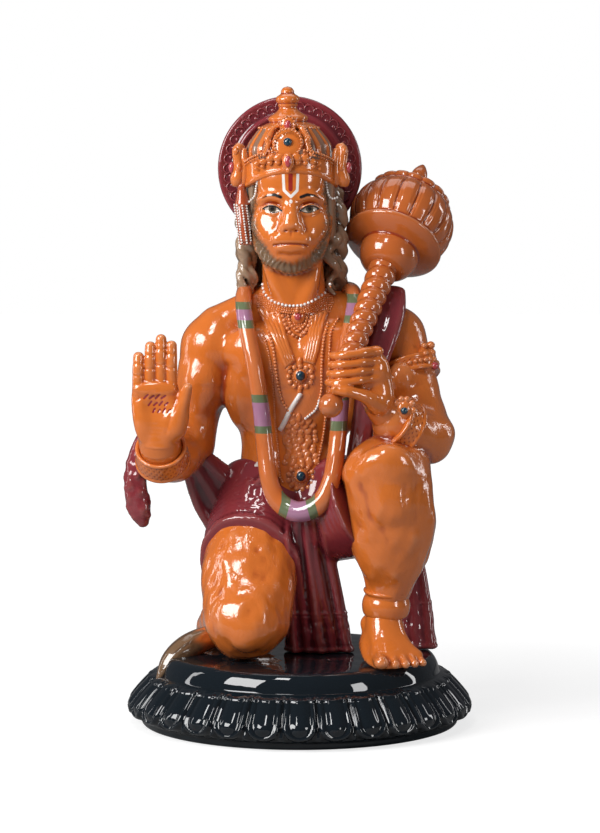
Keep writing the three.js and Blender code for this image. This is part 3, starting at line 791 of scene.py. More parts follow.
def foot(material):
    clay = Clay((8.0, -21.5, 0.02), (24.5, 0, 12.6), 0.22)
    clay.tube(
        [[14.9, -9.2, 13, 3.8, 3.9], [14.4, -9.0, 9.0, 3.1, 3.4], [13.9, -9.0, 4.6, 3.2, 3.8]], ends=0.9
    )
    clay.tube(
        [
            [12.4, -5.4, 2.2, 2.4, 2.2], [13.2, -9.0, 2.6, 3.3, 2.7], [14.6, -13, 1.5, 4.2, 1.6],
            [16.4, -15.6, 0.9, 4.9, 1.1],
        ],
        blend=1.4,
    )
    clay.tube(
        [[14.2, -10.2, 7, 2.1, 2.2], [14.4, -13.0, 4.2, 2.3, 1.5], [15, -15.6, 2.2, 2.6, 1.0]], blend=1.8
    )
    clay.tube(
        [[15.8, -10.6, 6, 1.5, 1.5], [17.6, -13.2, 3.0, 1.6, 1.2], [19.4, -14.6, 1.5, 1.4, 0.9]], blend=1.6
    )
    clay.egg((11.1, -8.2, 6.4), (0.9, 1.2, 1.2), blend=1.0)
    clay.egg((17.0, -8.4, 5.8), (0.9, 1.2, 1.2), blend=1.0)
    for root_x, root_y, tip_x, tip_y, radius in (
        (13.0, -15.6, 13.6, -19.0, 1.25), (15.5, -16.2, 16.0, -18.4, 0.82), (17.2, -16.0, 17.8, -17.9, 0.78),
        (18.6, -15.2, 19.4, -17.1, 0.74), (19.8, -14.2, 20.8, -16.0, 0.72),
    ):
        ahead = unit((tip_x - root_x, tip_y - root_y, 0))
        back = (root_x - ahead[0] * 1.5, root_y - ahead[1] * 1.5, 1.9)
        clay.tube(
            [
                [*back, radius, radius * 0.9], [root_x, root_y, 1.65, radius, radius * 0.9],
                [tip_x, tip_y, radius * 0.95, radius, radius * 0.9],
            ],
            ends=1,
            blend=0.35,
            step=0.5,
        )
        nail = np.array((tip_x, tip_y, radius * 1.7)) + ahead * radius * 0.25
        clay.egg(tuple(nail), (radius * 0.5, radius * 0.5, 0.16), (-24, 0, 0), 0.1)
    clay.above(0.04, -1)
    return clay.skin("foot", material)


# The head.


FACE_MIDDLE = -1.97
EYE_SIDE = 3.25
MOUTH = [[-4.9, 72.45], [-3.6, 72.7], [-2.0, 72.78], [-0.4, 72.7], [0.85, 72.45]]
FOREHEAD_MARK = [[-3.32, 85.2], [-3.15, 82.0], [-1.97, 80.9], [-0.86, 82.0], [-0.73, 85.4]]
JAW = [
    [-9.0, -0.8, 84.6, 0.5], [-8.95, -0.6, 81.0, 0.5], [-8.75, -0.9, 77.6, 0.6], [-8.15, -2.2, 73.8, 0.8],
    [-6.2, -4.1, 70.2, 0.85], [-2.0, -5.5, 68.3, 0.85], [2.2, -4.1, 70.2, 0.85], [4.15, -2.2, 73.8, 0.75],
    [4.75, -0.9, 77.6, 0.6], [4.85, -0.6, 81.0, 0.5], [4.85, -0.8, 84.6, 0.5],
]
JAW_LINE = [[p[0], p[2]] for p in spline(JAW, 1.2)]


def skull(clay):
    """Skull, neck, cheeks, ears, forehead and muzzle."""
    clay.tube(
        [
            [-2.0, -2.0, 70.8, 4.7, 4.2], [-2.0, -1.3, 73.6, 5.95, 5.5], [-2.05, -0.5, 77, 6.6, 6.5],
            [-2.05, 0, 81, 6.8, 7.0], [-2.1, 0.4, 87, 7.0, 7.3],
        ],
        ends=0.6,
    )
    clay.tube([[-1.0, 2.6, 59, 6.0], [-1.5, 1.6, 65, 5.6], [-1.8, 0.8, 72, 5.2]], blend=1)
    for way in (-1, 1):
        clay.tube(
            [
                [-2 + way * 4.9, -2.4, 72, 0.8], [-1.5 + way * 3.4, -3.1, 66, 1.0],
                [-1.2 + way * 1.2, -2.8, 61, 1.0],
            ],
            blend=1.6,
        )
        clay.egg((-2 + way * 4.1, -4.3, 76.0), (2.7, 2.2, 2.6), (0, 0, way * 22), 2.2)
        clay.egg((-2 + way * 7.0, 0.8, 78.6), (0.6, 1.2, 1.9), blend=0.4)
    clay.egg((-2.0, -4.2, 84), (5.4, 3.0, 3.6), blend=2)
    clay.egg((-1.98, -5.7, 73.5), (4.5, 2.75, 3.3), blend=2.4)
    clay.egg((-2.0, -5.3, 70.3), (3.0, 1.9, 1.6), blend=1.8)


def eyes_and_nose(clay):
    for way in (-1, 1):
        clay.tube(
            [
                [-2 + way * 5.4, -4.8, 80.3, 0.5], [-2 + way * 3.8, -6.3, 80.9, 0.6],
                [-2 + way * 1.9, -6.9, 80.7, 0.6],
            ],
            blend=1.5,
            side=(0, 0, 1),
        )
        clay.egg((-2 + way * 3.35, -7.6, 79), (1.85, 0.72, 0.85), (0, 0, way * 18), 1.1, cut=True)
    clay.tube(
        [
            [-2, -6.3, 81.8, 1.1], [-2, -6.9, 79.4, 1.2], [-1.95, -7.75, 77.4, 1.5],
            [-1.92, -8.35, 76.1, 1.6, 1.25],
        ],
        blend=1.2,
    )
    for way in (-1, 1):
        clay.egg((-1.92 + way * 1.45, -8.0, 75.5), (0.85, 0.95, 0.75), blend=0.6)
        clay.egg((-1.92 + way * 0.95, -8.8, 74.95), (0.42, 0.5, 0.2), (25, way * 15, 0), 0.25, cut=True)
        eye = np.array((FACE_MIDDLE + way * EYE_SIDE, -5.45, 78.75))
        clay.egg(tuple(eye), (1.65, 1.35, 1.1), (0, 0, way * 16), 0.1)
        upper = [
            [eye[0] - way * 1.75, -6.55, 78.35, 0.18], [eye[0] - way * 1.0, -7.0, 79.15, 0.24],
            [eye[0], -6.95, 79.45, 0.26], [eye[0] + way * 1.0, -6.45, 79.3, 0.24],
            [eye[0] + way * 1.75, -5.6, 78.85, 0.18],
        ]
        lower = [
            [eye[0] - way * 1.7, -6.5, 78.3, 0.18], [eye[0] - way * 0.8, -6.85, 78.02, 0.2],
            [eye[0] + way * 0.2, -6.75, 77.95, 0.2], [eye[0] + way * 1.1, -6.2, 78.2, 0.2],
            [eye[0] + way * 1.75, -5.6, 78.75, 0.18],
        ]
        clay.tube(upper, side=(0, 1, 0), blend=0.3, step=0.3)
        clay.tube(lower, side=(0, 1, 0), blend=0.4, step=0.3)


def mouth_and_folds(clay):
    """A full upper lip, a line that turns down at its ends, the lower lip and the folds around them."""
    clay.egg((-2.0, -7.9, 73.6), (3.0, 0.8, 0.9), blend=1.4)
    clay.egg((-2.0, -7.6, 71.9), (2.2, 0.6, 0.6), blend=1.1)
    clay.score(MOUTH, 0.34, 0.26, (-6, -10, 71), (2, -5.5, 74))
    clay.score([[-3.6, 71.1], [-2, 70.85], [-0.4, 71.1]], 0.7, 0.12, (-5, -10, 70), (1, -5, 72.4))
    clay.score([[-1.93, 74.9], [-1.95, 74.1]], 0.4, 0.08, (-3, -10, 73.6), (-1, -5, 75.2))
    for way in (-1, 1):
        fold = [[-1.9 + way * 2.3, 75.7], [-2 + way * 3.6, 74.2], [-2 + way * 4.0, 72.4]]
        clay.score(fold, 1.1, 0.12, (-8, -10, 70), (4, -4.5, 77.5))


def beard(clay):
    """A fringe of short tufts that runs round the jaw from the temples."""
    clay.tube(JAW, side=(0, 1, 0), blend=1.1)

    def tufts(x, y, z):
        turn = np.arctan2(x + 2.0, 78 - z)
        out = np.hypot(x + 2.0, 78 - z)
        near = smooth(1.5, 0.8, line_gap(x, z, JAW_LINE)) * smooth(1.5, 0.5, y)
        wave = np.sin(62 * turn + 1.6 * np.sin(out * 1.7 + 9 * turn) + 1.2 * np.sin(y * 1.9))
        return 0.03 * near * wave * (1 + 1.6 * smooth(74, 71, z))

    clay.press((-10.6, -9, 66), (6.6, 1.6, 85), tufts)


def eye_paint(x, z):
    """Distances to the painted brows, whites, irises, pupils and lid lines of both eyes."""
    brow = sclera = iris = pupil = lid = np.full_like(x, 9)
    for way in (-1, 1):
        cx = FACE_MIDDLE + way * EYE_SIDE
        arch = [
            [cx + way * side, height]
            for side, height in ((-1.5, 80.85), (-0.4, 81.25), (0.8, 81.15), (1.7, 80.6))
        ]
        thick = 0.28 - 0.1 * np.clip((x - cx) * way + 0.4, 0, 2)
        brow = np.minimum(brow, line_gap(x, z, arch) - thick)
        top = 79.3 - 0.28 * (x - cx) ** 2 + 0.1 * way * (x - cx)
        low = 78.12 + 0.22 * (x - cx) ** 2 + 0.1 * way * (x - cx)
        sclera = np.minimum(sclera, np.maximum(z - top, low - z))
        from_middle = np.hypot(x - cx - 0.02, z - 78.78)
        iris = np.minimum(iris, from_middle - 0.66)
        pupil = np.minimum(pupil, from_middle - 0.34)
        near = np.abs(x - cx) < 1.8
        lid = np.minimum(lid, np.where(near, np.abs(z - top - 0.04) - 0.16, 9))
        lid = np.minimum(lid, np.where(near, np.abs(z - low) - 0.08, 9))
    return brow, sclera, iris, pupil, lid


def face_paint(x, y, z):
    """Distances to every painted area of the head, each kept to the front of the face."""
    white = line_gap(x, z, FOREHEAD_MARK) - 0.24
    white = np.minimum(white, np.hypot(x + 1.98, (z - 80.1) * 0.8) - 0.28)
    red = line_gap(x, z, [[-2.02, 85.6], [-2.02, 82.2]]) - 0.38
    brow, sclera, iris, pupil, lid = eye_paint(x, z)
    lips = np.maximum(line_gap(x, z, MOUTH) - 0.06, 0)
    turn = np.arctan2(x + 2.0, 78 - z)
    reach = 1.1 - 0.6 * smooth(71, 75, z) + 0.7 * smooth(79, 82, z)
    fringe = line_gap(x, z, JAW_LINE) - reach + 0.12 * np.sin(62 * turn) + 0.15 * np.sin(17 * turn + z)
    painted = {
        "white": np.where(y < -3.2, white, 9),
        "red": np.where(y < -3.2, red, 9),
        "brow": np.where(y < -3.2, brow, 9),
        "sclera": np.where(y < -5, sclera, 9),
        "iris": np.where(y < -5, np.maximum(iris, sclera), 9),
        "pupil": np.where(y < -5, np.maximum(pupil, sclera), 9),
        "lid": np.where(y < -5, lid, 9),
        "lips": np.where(y < -5, lips, 9),
        "beard": np.where(z > 66.9, fringe, 9),
    }
    return painted


def head(material):
    clay = Clay((-11, -11, 60.5), (7, 8, 89), 0.19)
    for feature in (skull, eyes_and_nose, mouth_and_folds, beard):
        feature(clay)
    clay.above(88)
    return clay.skin("head", material, face_paint)


# Cloth, hair and garland.


def front_of(rows, share):
    """The front line of a slab of [x, y, z, across, deep] rows, share of its half-width to the side."""
    return [
        [x + share * across, y - deep * math.sqrt(1 - share * share) * 0.92, z]
        for x, y, z, across, deep in rows
    ]


CLOTH_BOX = (-21, -18.6, 0.02), (22, 14.5, 35), 0.35


def kneeling_side(clay):
    """The cloth round the kneeling thigh, down to its hem."""
    hip, knee_side = np.array((-10.5, -8.0, 25.4)), unit((-0.256, -0.882, -0.395))
    clay.tube(
        [
            [-5.2, 5.0, 29.5, 9.0, 8.6], [-7.2, 1.2, 23, 9.2, 8.7], [-8.7, -2.8, 16.6, 9.25, 8.5],
            [-9.6, -7.0, 9.0, 8.5, 7.9],
        ],
        ends=0.3,
    )
    clay.rough((3.2, 3.2, 2.0), 0.14, 11)
    clay.hem(hip, knee_side, 0.42, 0.3, 0.78, 0.075)


def thigh_side(clay):
    """The cloth under the raised thigh, made apart because it has a hem of its own."""
    other = Clay(*CLOTH_BOX)
    other.tube(
        [[2.6, 4.4, 25, 8.4, 9.0], [7.2, -2.4, 26.4, 8.5, 9.6], [12.8, -9.4, 29.4, 8.4, 9.2]], ends=0.3
    )
    other.rough((3.2, 3.2, 2.0), 0.14, 14)
    other.hem(np.array((9.6, -9.0, 26)), unit((0.8, -0.42, 0.34)), 0.36, 0.2, 1.1, 0.05)
    clay.merge((slice(None),) * 3, other.field, 1.2, False)


def front_pleats(clay):
    """The seat of the cloth and the pleats that fall in front of it."""
    clay.tube(
        [[-1.8, 4.6, 21, 9.8, 8.4], [-1.8, 3.8, 27, 10.7, 8.6], [-1.8, 3.2, 31.4, 10.1, 7.4]], ends=0.4,
        blend=1.2,
    )
    clay.egg((-0.3, -8.2, 33.4), (5.0, 3.9, 7.2), blend=0.7, cut=True)
    pleats = [
        [0.2, -4.6, 26.5, 3.0, 2.2], [0.7, -4.6, 22, 3.8, 2.4], [1.7, -2.4, 12, 4.9, 2.7],
        [2.8, 0.2, 0.4, 6.0, 3.1],
    ]
    clay.tube(pleats, ends=0.3, blend=0.8)
    heights, middles, widths = (np.array([row[i] for row in pleats[::-1]]) for i in (2, 0, 3))

    def folds(x, y, z):
        share = (x - np.interp(z, heights, middles)) / np.interp(z, heights, widths)
        wave = np.sin(7.2 * share + 0.8 + 0.25 * np.sin(z * 0.35)) + 0.6 * np.sin(15.5 * share + 0.1 * z)
        return -(0.14 + 0.012 * (29 - z)) * wave * smooth(
            1.25, 0.9, np.abs(share)
        ) * smooth(27, 22, z) * smooth(1, -1, y)

    clay.press((-6, -11, 0), (11, 1, 27), folds)
    clay.tube([[*p, 0.35 + 0.15 * i] for i, p in enumerate(front_of(pleats, 0.93))], blend=0.9)


def belt(clay):
    """Folds that gather under the belt, its two rolled turns, and its knot."""
    for i, (x, low) in enumerate(((-9.6, 26.4), (-7.2, 25.6), (5.4, 26.8))):
        clay.tube(
            [
                [x * 0.96, -3.6, 30.6, 0.55], [x, -4.6 - 0.3 * i % 2, (30.6 + low) / 2, 0.5],
                [x - 0.6, -4.8, low, 0.2],
            ],
            blend=0.9,
        )
    for z, radius in ((32.2, 0.7), (31.0, 0.6)):
        turn = np.linspace(-0.32 * math.pi, 1.32 * math.pi, 25)
        ring = [
            [-1.8 + 10.3 * math.cos(t), 3.3 + 7.6 * math.sin(t), z - 2.6 * max(0, -math.sin(t) - 0.3), radius]
            for t in turn
        ]
        clay.tube(ring, blend=0.4, side=(0, 0, 1), ends=0.5)
    clay.egg((-5.6, -4.4, 31.4), (1.6, 1.1, 1.3), (0, 20, 0), 0.3)
    clay.tube([[-6.6, -4.6, 31.8, 0.7], [-8.4, -4.2, 30.2, 0.5], [-9.4, -3.6, 28.6, 0.25]], blend=0.3)


def woven_border(clay):
    """The woven border at the foot of the pleats."""
    front = (-14, -12, 0), (14, 6, 9)
    clay.rough((1.3, 1.3, 1.0), 0.14, 15, (-14, -12, 1.2), (14, 6, 6.4))
    clay.press(
        *front, lambda x, y,
        z: bands(z, ((0.7, 0.5, 0.22), (7.4, 0.3, 0.18), (6.7, 0.25, 0.12))) + 0 * x + 0 * y,
    )
    clay.above(0.08, -1)


def waist_cloth(material):
    clay = Clay(*CLOTH_BOX)
    for part in (kneeling_side, thigh_side, front_pleats, belt, woven_border):
        part(clay)
    return clay.skin("waist_cloth", material)


def scarf(material):
    clay = Clay((-32, -9, 0.02), (26, 14, 68), 0.38)
    shawl = [
        [9.0, -4.6, 30, 2.2, 0.8], [10.6, -5.8, 41, 2.1, 0.8], [12.1, -6.2, 50, 2.3, 0.8],
        [15.2, -3.0, 59.4, 2.6, 0.9], [15.6, 2.2, 64.2, 2.6, 0.9], [13.6, 7.4, 60, 2.8, 1.0],
        [9.4, 9.4, 51, 3.0, 1.2], [3.4, 9.8, 42, 3.2, 1.2], [-4.6, 10.2, 31, 3.4, 1.2],
        [-8.4, 9.4, 25, 3.0, 1.2],
    ]
    clay.tube(shawl, blend=0.4)
    for share in (-0.6, 0.1, 0.66):
        front = [[x + share * across, y - 0.75 * deep, z, 0.38] for x, y, z, across, deep in shawl[:5]]
        back = [[x + share * across, y + 0.8 * deep, z, 0.45] for x, y, z, across, deep in shawl[5:]]
        clay.tube(front, blend=0.8)
        clay.tube(back, blend=0.8)
    hip = [
        [-20.6, 1.0, 37.2, 1.5, 0.8], [-18.2, 1.4, 33.2, 3.3, 0.9], [-15.6, 2.0, 29.2, 4.9, 1.0],
        [-12.4, 3.0, 25, 5.8, 1.3],
    ]
    clay.tube(hip, side=(1, 0, 0.9), blend=0.4)
    for share in (-0.9, -0.2, 0.55):
        clay.tube(
            [
                [x + share * a * 0.7, y - 0.7, z + share * a * 0.62, 0.3 + 0.12 * i]
                for i, (x, y, z, a, _) in enumerate(hip)
            ],
            blend=1.0,
        )
    outer = [
        [-19.4, 3.2, 39.4, 1.5, 2.2], [-23.4, 1.4, 41, 1.5, 2.5], [-26.8, -0.8, 39.6, 1.4, 2.3],
        [-28.9, -2.2, 35.6, 1.6, 2.0], [-29.4, -3, 30.4, 2.0, 1.8], [-28.7, -3.1, 26, 2.0, 1.7],
        [-28.0, -3.1, 23.4, 1.0, 0.9],
    ]
    clay.tube(outer, blend=0.4)
    rng = np.random.default_rng(21)
    for x, y, z, across, deep in spline(outer[2:], 0.7)[3:-2]:
        for _ in range(3):
            turn = rng.uniform(math.pi, 2 * math.pi)
            spot = (
                x + across * math.cos(turn) * 0.96, y + deep * math.sin(turn) * 0.96,
                z + rng.uniform(-0.4, 0.4),
            )
            clay.egg(spot, (0.42, 0.42, 0.55), blend=0.3)
    end = [
        [8.0, 9.4, 30, 2.4, 1.0], [14.4, 8.4, 27, 2.3, 1.0], [19.2, 6.2, 17, 2.1, 0.9],
        [20.4, 4.2, 7, 2.9, 1.1], [20.6, 3.2, 0.3, 3.6, 1.2],
    ]
    clay.tube(end, blend=0.4, ends=0.3)
    for share in (-0.8, -0.1, 0.7):
        clay.tube(
            [[x + share * a, y - d * 0.7, z, 0.3 + 0.1 * i] for i, (x, y, z, a, d) in enumerate(end)],
            blend=0.9,
        )
    clay.rough((1.4, 1.4, 1.2), 0.14, 16, (15, -2, 1.2), (26, 8, 6.8))
    edges = ((0.7, 0.5, 0.2), (8.4, 0.3, 0.18), (7.5, 0.25, 0.14))
    clay.press((15, -2, 0), (26, 8, 10), lambda x, y, z: bands(z, edges) + 0 * x + 0 * y)
    clay.rough((3.4, 3.4, 3.4), 0.07, 12)
    clay.above(0.08, -1)
    return clay.skin("scarf", material)


def strand(clay, points, radius, blend=0.15):
    count = len(points) - 1
    clay.tube([[*p, radius * (1 - 0.7 * i / count)] for i, p in enumerate(points)], blend=blend, step=0.7)


def hair(material):
    clay = Clay((-13.5, -3.4, 50), (10.5, 13.5, 90), 0.32)
    clay.tube(
        [
            [-1.9, 6.4, 84.5, 6.8, 4.4], [-1.8, 5.6, 74, 8.0, 4.0], [-1.4, 7.2, 65, 7.8, 3.0],
            [-1.2, 8.4, 57, 5.0, 1.5],
        ],
        ends=0.6,
    )
    for way in (-1, 1):
        clay.tube(
            [
                [-2 + way * 6.6, -0.6, 84, 1.1, 2.6], [-2 + way * 6.8, 0.8, 80, 1.1, 3.0],
                [-2 + way * 6.8, 2.0, 75, 1.3, 3.0],
            ],
            blend=0.8,
        )
    rng = np.random.default_rng(9)
    for way in (-1, 1):
        for _ in range(15):
            x = -1.8 + way * rng.uniform(6.2, 8.4)
            y = rng.uniform(0.2, 6.4)
            top = rng.uniform(73, 80)
            phase, swing = rng.uniform(0, 6.3), rng.uniform(0.6, 0.95)
            low = rng.uniform(61.5, 65)
            points = []
            for z in np.arange(top, low, -1.1):
                t = phase + z * 1.15
                points.append([x + swing * math.sin(t) + way * 0.05 * (top - z), y + swing * math.cos(t), z])
            strand(clay, points, rng.uniform(1.0, 1.3), 0.12)
    for _ in range(30):
        x = -2 + rng.uniform(-8, 8)
        phase, swing = rng.uniform(0, 6.3), rng.uniform(0.4, 0.8)
        points = []
        for z in np.arange(rng.uniform(80, 86), rng.uniform(54, 60), -1.3):
            share = (86 - z) / 30
            wide = 8.2 - 3.4 * max(0, share - 0.5) * 2
            across = (x + 2) / 8 * wide
            round_back = 4.0 * math.sqrt(max(0, 1 - (across / (wide + 1)) ** 2)) * (1 - 0.45 * share)
            turn = phase + z * 0.95
            back = 5.2 + 2.8 * share + round_back + 0.4 * math.cos(turn)
            points.append([-2 + across + swing * math.sin(turn), back, z])
        strand(clay, points, rng.uniform(0.95, 1.15), 0.12)
    return clay.skin("hair", material)


def tail(material):
    clay = Clay((-29.4, -10.4, -5.6), (1, 18, 27), 0.26)
    clay.tube(
        [[-2.4, 11.0, 24, 1.9], [-3.6, 14.2, 14, 1.8], [-6.0, 13.2, 4.6, 1.8], [-11.4, 6.4, 2.6, 1.8]],
        blend=0.5,
    )
    brush = [
        [-12.4, 4.0, 2.6, 1.8], [-15.6, 0.6, 2.7, 2.0], [-18.4, -1.6, 2.1, 2.25], [-21.0, -3.4, 0.8, 2.3],
        [-23.4, -4.9, -1.2, 1.8], [-25.6, -6.4, -4.2, 0.3],
    ]
    clay.tube(brush, blend=0.5, ends=0.6)
    rows = spline(stations(brush), 1.0)
    rng = np.random.default_rng(13)
    for _ in range(44):
        start = rng.integers(4, len(rows) - 6)
        turn = rng.uniform(0, 2 * math.pi)
        points = []
        for k in range(start, min(start + 8, len(rows))):
            x, y, z, r, _ = rows[k]
            swirl = turn + (k - start) * 0.08
            points.append(
                [
                    x + 0.45 * r * math.sin(swirl), y - 0.82 * r * math.cos(swirl),
                    z + 0.84 * r * math.sin(swirl),
                ],
            )
        strand(clay, points, 0.5, 0.35)

    def marks(x, y, z):
        order = np.argsort(rows[:, 0])
        middle_y, middle_z = (np.interp(x, rows[order, 0], rows[order, i]) for i in (1, 2))
        streak = np.sin(6 * np.arctan2(z - middle_z, middle_y - y) + 0.35 * x)
        return {"tip": x + 17.8 + 0.8 * streak, "streak": 0.8 - streak + np.maximum(0, x + 19.5)}

    return clay.skin("tail", material, marks)


GARLAND = [
    [-1.0, 8.2, 63.5, 1.3], [-8.6, 5.6, 64.6, 1.35], [-10.3, -0.4, 63.6, 1.4], [-9.9, -4.8, 58.8, 1.45],
    [-8.4, -7.2, 52, 1.5], [-7.2, -7.6, 44.5, 1.5], [-6.5, -7.6, 37.4, 1.55], [-5.7, -8.8, 31.5, 1.6],
    [-4.0, -9.4, 27.9, 1.75], [-0.6, -10.6, 26.3, 1.85], [3.0, -11.6, 27.9, 1.75], [5.0, -11.0, 31.7, 1.6],
    [6.0, -8.4, 37, 1.55], [6.6, -7.6, 44, 1.5], [7.2, -7.4, 51, 1.5], [8.4, -5.0, 57.8, 1.45],
    [9.2, -0.4, 63.2, 1.4], [7.2, 5.6, 64.4, 1.35], [-1.0, 8.2, 63.5, 1.3],
]


def garland(material):
    clay = Clay((-12.6, -15.2, 22.6), (11.6, 10.6, 67), 0.3)
    clay.tube(GARLAND, side=(0, 1, 0), blend=0.1, step=0.6)

    def band(z, low, high):
        return np.maximum(low - z, z - high)

    def marks(x, y, z):
        low = (z <= 30) & (np.abs(x) < 6)
        left, right = (x < 0) & ~low & (y < 3), (x >= 0) & ~low & (y < 3)
        # Lilac in the middle of the lowest loop, a wedge that widens downwards, with green beside it.
        wedge = np.abs(x + 0.7) - (1.3 + 0.28 * np.clip(28.2 - z, 0, 5))
        lilac = np.where(left, np.minimum(band(z, 59.4, 61.2), band(z, 41.1, 45.2)), 9.0)
        lilac = np.where(right, np.minimum(band(z, 60.2, 62.3), band(z, 42.0, 45.6)), lilac)
        lilac = np.where(low, wedge, lilac)
        green = np.where(left, np.minimum(band(z, 58.0, 62.5), band(z, 39.8, 46.6)), 9.0)
        green = np.where(right, np.minimum(band(z, 58.9, 63.8), band(z, 40.3, 46.8)), green)
        green = np.where(low, wedge - 1.6, green)
        return {"green": green, "lilac": lilac}

    return clay.skin("garland", material, marks)


# Turned, spun and beaded pieces.


def finish_shape(name, shape, material, node="figure"):
    bmesh.ops.recalc_face_normals(shape, faces=shape.faces[:])
    mesh = bpy.data.meshes.new(name)
    shape.to_mesh(mesh)
    shape.free()
    return add_piece(name, mesh, material, node)


def lathe(line, steps, join):
    """[radius, height] rows spun about the upright axis, as a bmesh; points within join become one."""
    shape = bmesh.new()
    verts = [shape.verts.new((radius, 0, height)) for radius, height in line]
    edges = [shape.edges.new(pair) for pair in zip(verts[:-1], verts[1:])]
    bmesh.ops.spin(
        shape, geom=verts + edges, cent=(0, 0, 0), axis=(
            0, 0, 1
        ), angle=2 * math.pi, steps=steps, use_merge=True
    )
    bmesh.ops.remove_doubles(shape, verts=shape.verts[:], dist=join)
    return shape


def swell(shape, relief, least):
    """Moves a turned surface outwards by relief(radius, height, angle), beyond a least radius."""
    for v in shape.verts:
        radius = math.hypot(v.co.x, v.co.y)
        if radius > least:
            grown = (radius + relief(radius, v.co.z, math.atan2(v.co.y, v.co.x))) / radius
            v.co.x *= grown
            v.co.y *= grown


def spun(profile, base, tip, steps=48, relief=None, curve=0.0):
    """A turned form as a bmesh in metres: [radius, along] pairs spun about the line base to tip.

    relief(radius, along, angle) moves its surface outwards; all in the figure's units."""
    line = spline(profile, curve) if curve else np.array(profile, float)
    line[:, 0] = np.maximum(line[:, 0], 0)
    shape = lathe(line[:, :2], steps, 1e-5)
    if relief:
        swell(shape, relief, 1e-4)
    aim = Vector(unit(np.subtract(tip, base))).to_track_quat("Z", "Y").to_matrix().to_4x4()
    matrix = Matrix.Translation(Vector(metres(base))) @ aim @ Matrix.Scale(UNIT, 4)
    bmesh.ops.transform(shape, matrix=matrix, verts=shape.verts[:])
    return shape


def gather(target, source):
    """Adds one bmesh to another."""
    mesh = bpy.data.meshes.new("gathered")
    source.to_mesh(mesh)
    source.free()
    target.from_mesh(mesh, face_normals=False, vertex_normals=False)
    bpy.data.meshes.remove(mesh)


def bead(shape, centre, radius, squash=(1, 1, 1), turn=(0, 0, 0), fine=0):
    """A small rounded bead at centre, in the figure's units."""
    matrix = Matrix.Translation(Vector(metres(centre))) @ Euler(
        [math.radians(t) for t in turn]
    ).to_matrix().to_4x4()
    matrix = matrix @ Matrix.Diagonal((*squash, 1))
    ball = bmesh.new()
    bmesh.ops.create_uvsphere(
        ball, u_segments=8 + 4 * fine, v_segments=6 + 3 * fine, radius=radius * UNIT, matrix=matrix
    )
    gather(shape, ball)


def cord(shape, points, radius, sides=6, step=0.5):
    """A round cord through points, in the figure's units; radius may vary along it."""
    rows = spline([[*p, radius] if len(p) == 3 else p for p in points], step)
    rings = []
    made = bmesh.new()
    for i, row in enumerate(rows):
        along = rows[min(i + 1, len(rows) - 1)][:3] - rows[max(i - 1, 0)][:3]
        aim = Vector(unit(along)).to_track_quat("Z", "Y").to_matrix().to_4x4()
        matrix = Matrix.Translation(Vector(metres(row))) @ aim
        capped = i in (0, len(rows) - 1)
        circle = bmesh.ops.create_circle(
            made, cap_ends=capped, segments=sides, radius=row[3] * UNIT, matrix=matrix
        )
        ring = set(circle["verts"])
        rings.append([e for e in {e for v in ring for e in v.link_edges} if set(e.verts) <= ring])
    for a, b in zip(rings[:-1], rings[1:]):
        bmesh.ops.bridge_loops(made, edges=a + b)
    gather(shape, made)


class Ground:
    """What beads and trims lie on: finds the porcelain's surface seen from the front."""

    def __init__(self, *pieces):
        self.trees = []
        for piece in pieces:
            mesh = piece.data
            co = np.zeros(len(mesh.vertices) * 3, np.float32)
            mesh.vertices.foreach_get("co", co)
            faces = [tuple(p.vertices) for p in mesh.polygons]
            self.trees.append(BVHTree.FromPolygons(co.reshape(-1, 3).tolist(), faces))

    def front(self, x, z, default=-6.0):
        """y of the first surface that a line along +Y meets at (x, z)."""
        start = Vector(metres((x, -40, z)))
        found = [tree.ray_cast(start, Vector((0, 1, 0)))[0] for tree in self.trees]
        depths = [p.y / UNIT for p in found if p is not None]
        return min(depths) if depths else default


def along(points, pitch):
    """Points every pitch along a smooth line."""
    rows = spline(points, 0.1)
    run = np.concatenate([[0], np.cumsum(np.linalg.norm(np.diff(rows, axis=0), axis=1))])
    count = max(2, round(run[-1] / pitch) + 1)
    marks = np.linspace(0, run[-1], count)
    return np.stack([np.interp(marks, run, column) for column in rows.T], axis=1)


def pool_and_shade(shape):
    """Marks how hollow each vertex is, for the glaze that gathers there and for painted shade in hollows."""
    bmesh.ops.recalc_face_normals(shape, faces=shape.faces[:])
    layer = shape.verts.layers.float.new("hollow")
    shape.normal_update()
    for v in shape.verts:
        around = [e.other_vert(v).co - v.co for e in v.link_edges]
        size = sum(a.length for a in around) / max(len(around), 1)
        v[layer] = 1.5 * sum(a.dot(v.normal) for a in around) / max(len(around) * size, 1e-9)


def mark(piece, **fields):
    """Painted attributes of a piece, each a function of its points in the figure's units."""
    co = np.zeros(len(piece.data.vertices) * 3, np.float32)
    piece.data.vertices.foreach_get("co", co)
    points = (co.reshape(-1, 3) - (FIGURE_SIDE, 0, PLINTH_TOP)) / UNIT
    for key, field in fields.items():
        values = field(*points.T).astype(np.float32)
        piece.data.attributes.new(key, "FLOAT", "POINT").data.foreach_set("value", values)


def bump(value, low, high):
    """A soft ridge from 0 at low over 1 in the middle to 0 at high."""
    t = min(max((value - low) / (high - low), 0), 1)
    return math.sin(math.pi * t) ** 2


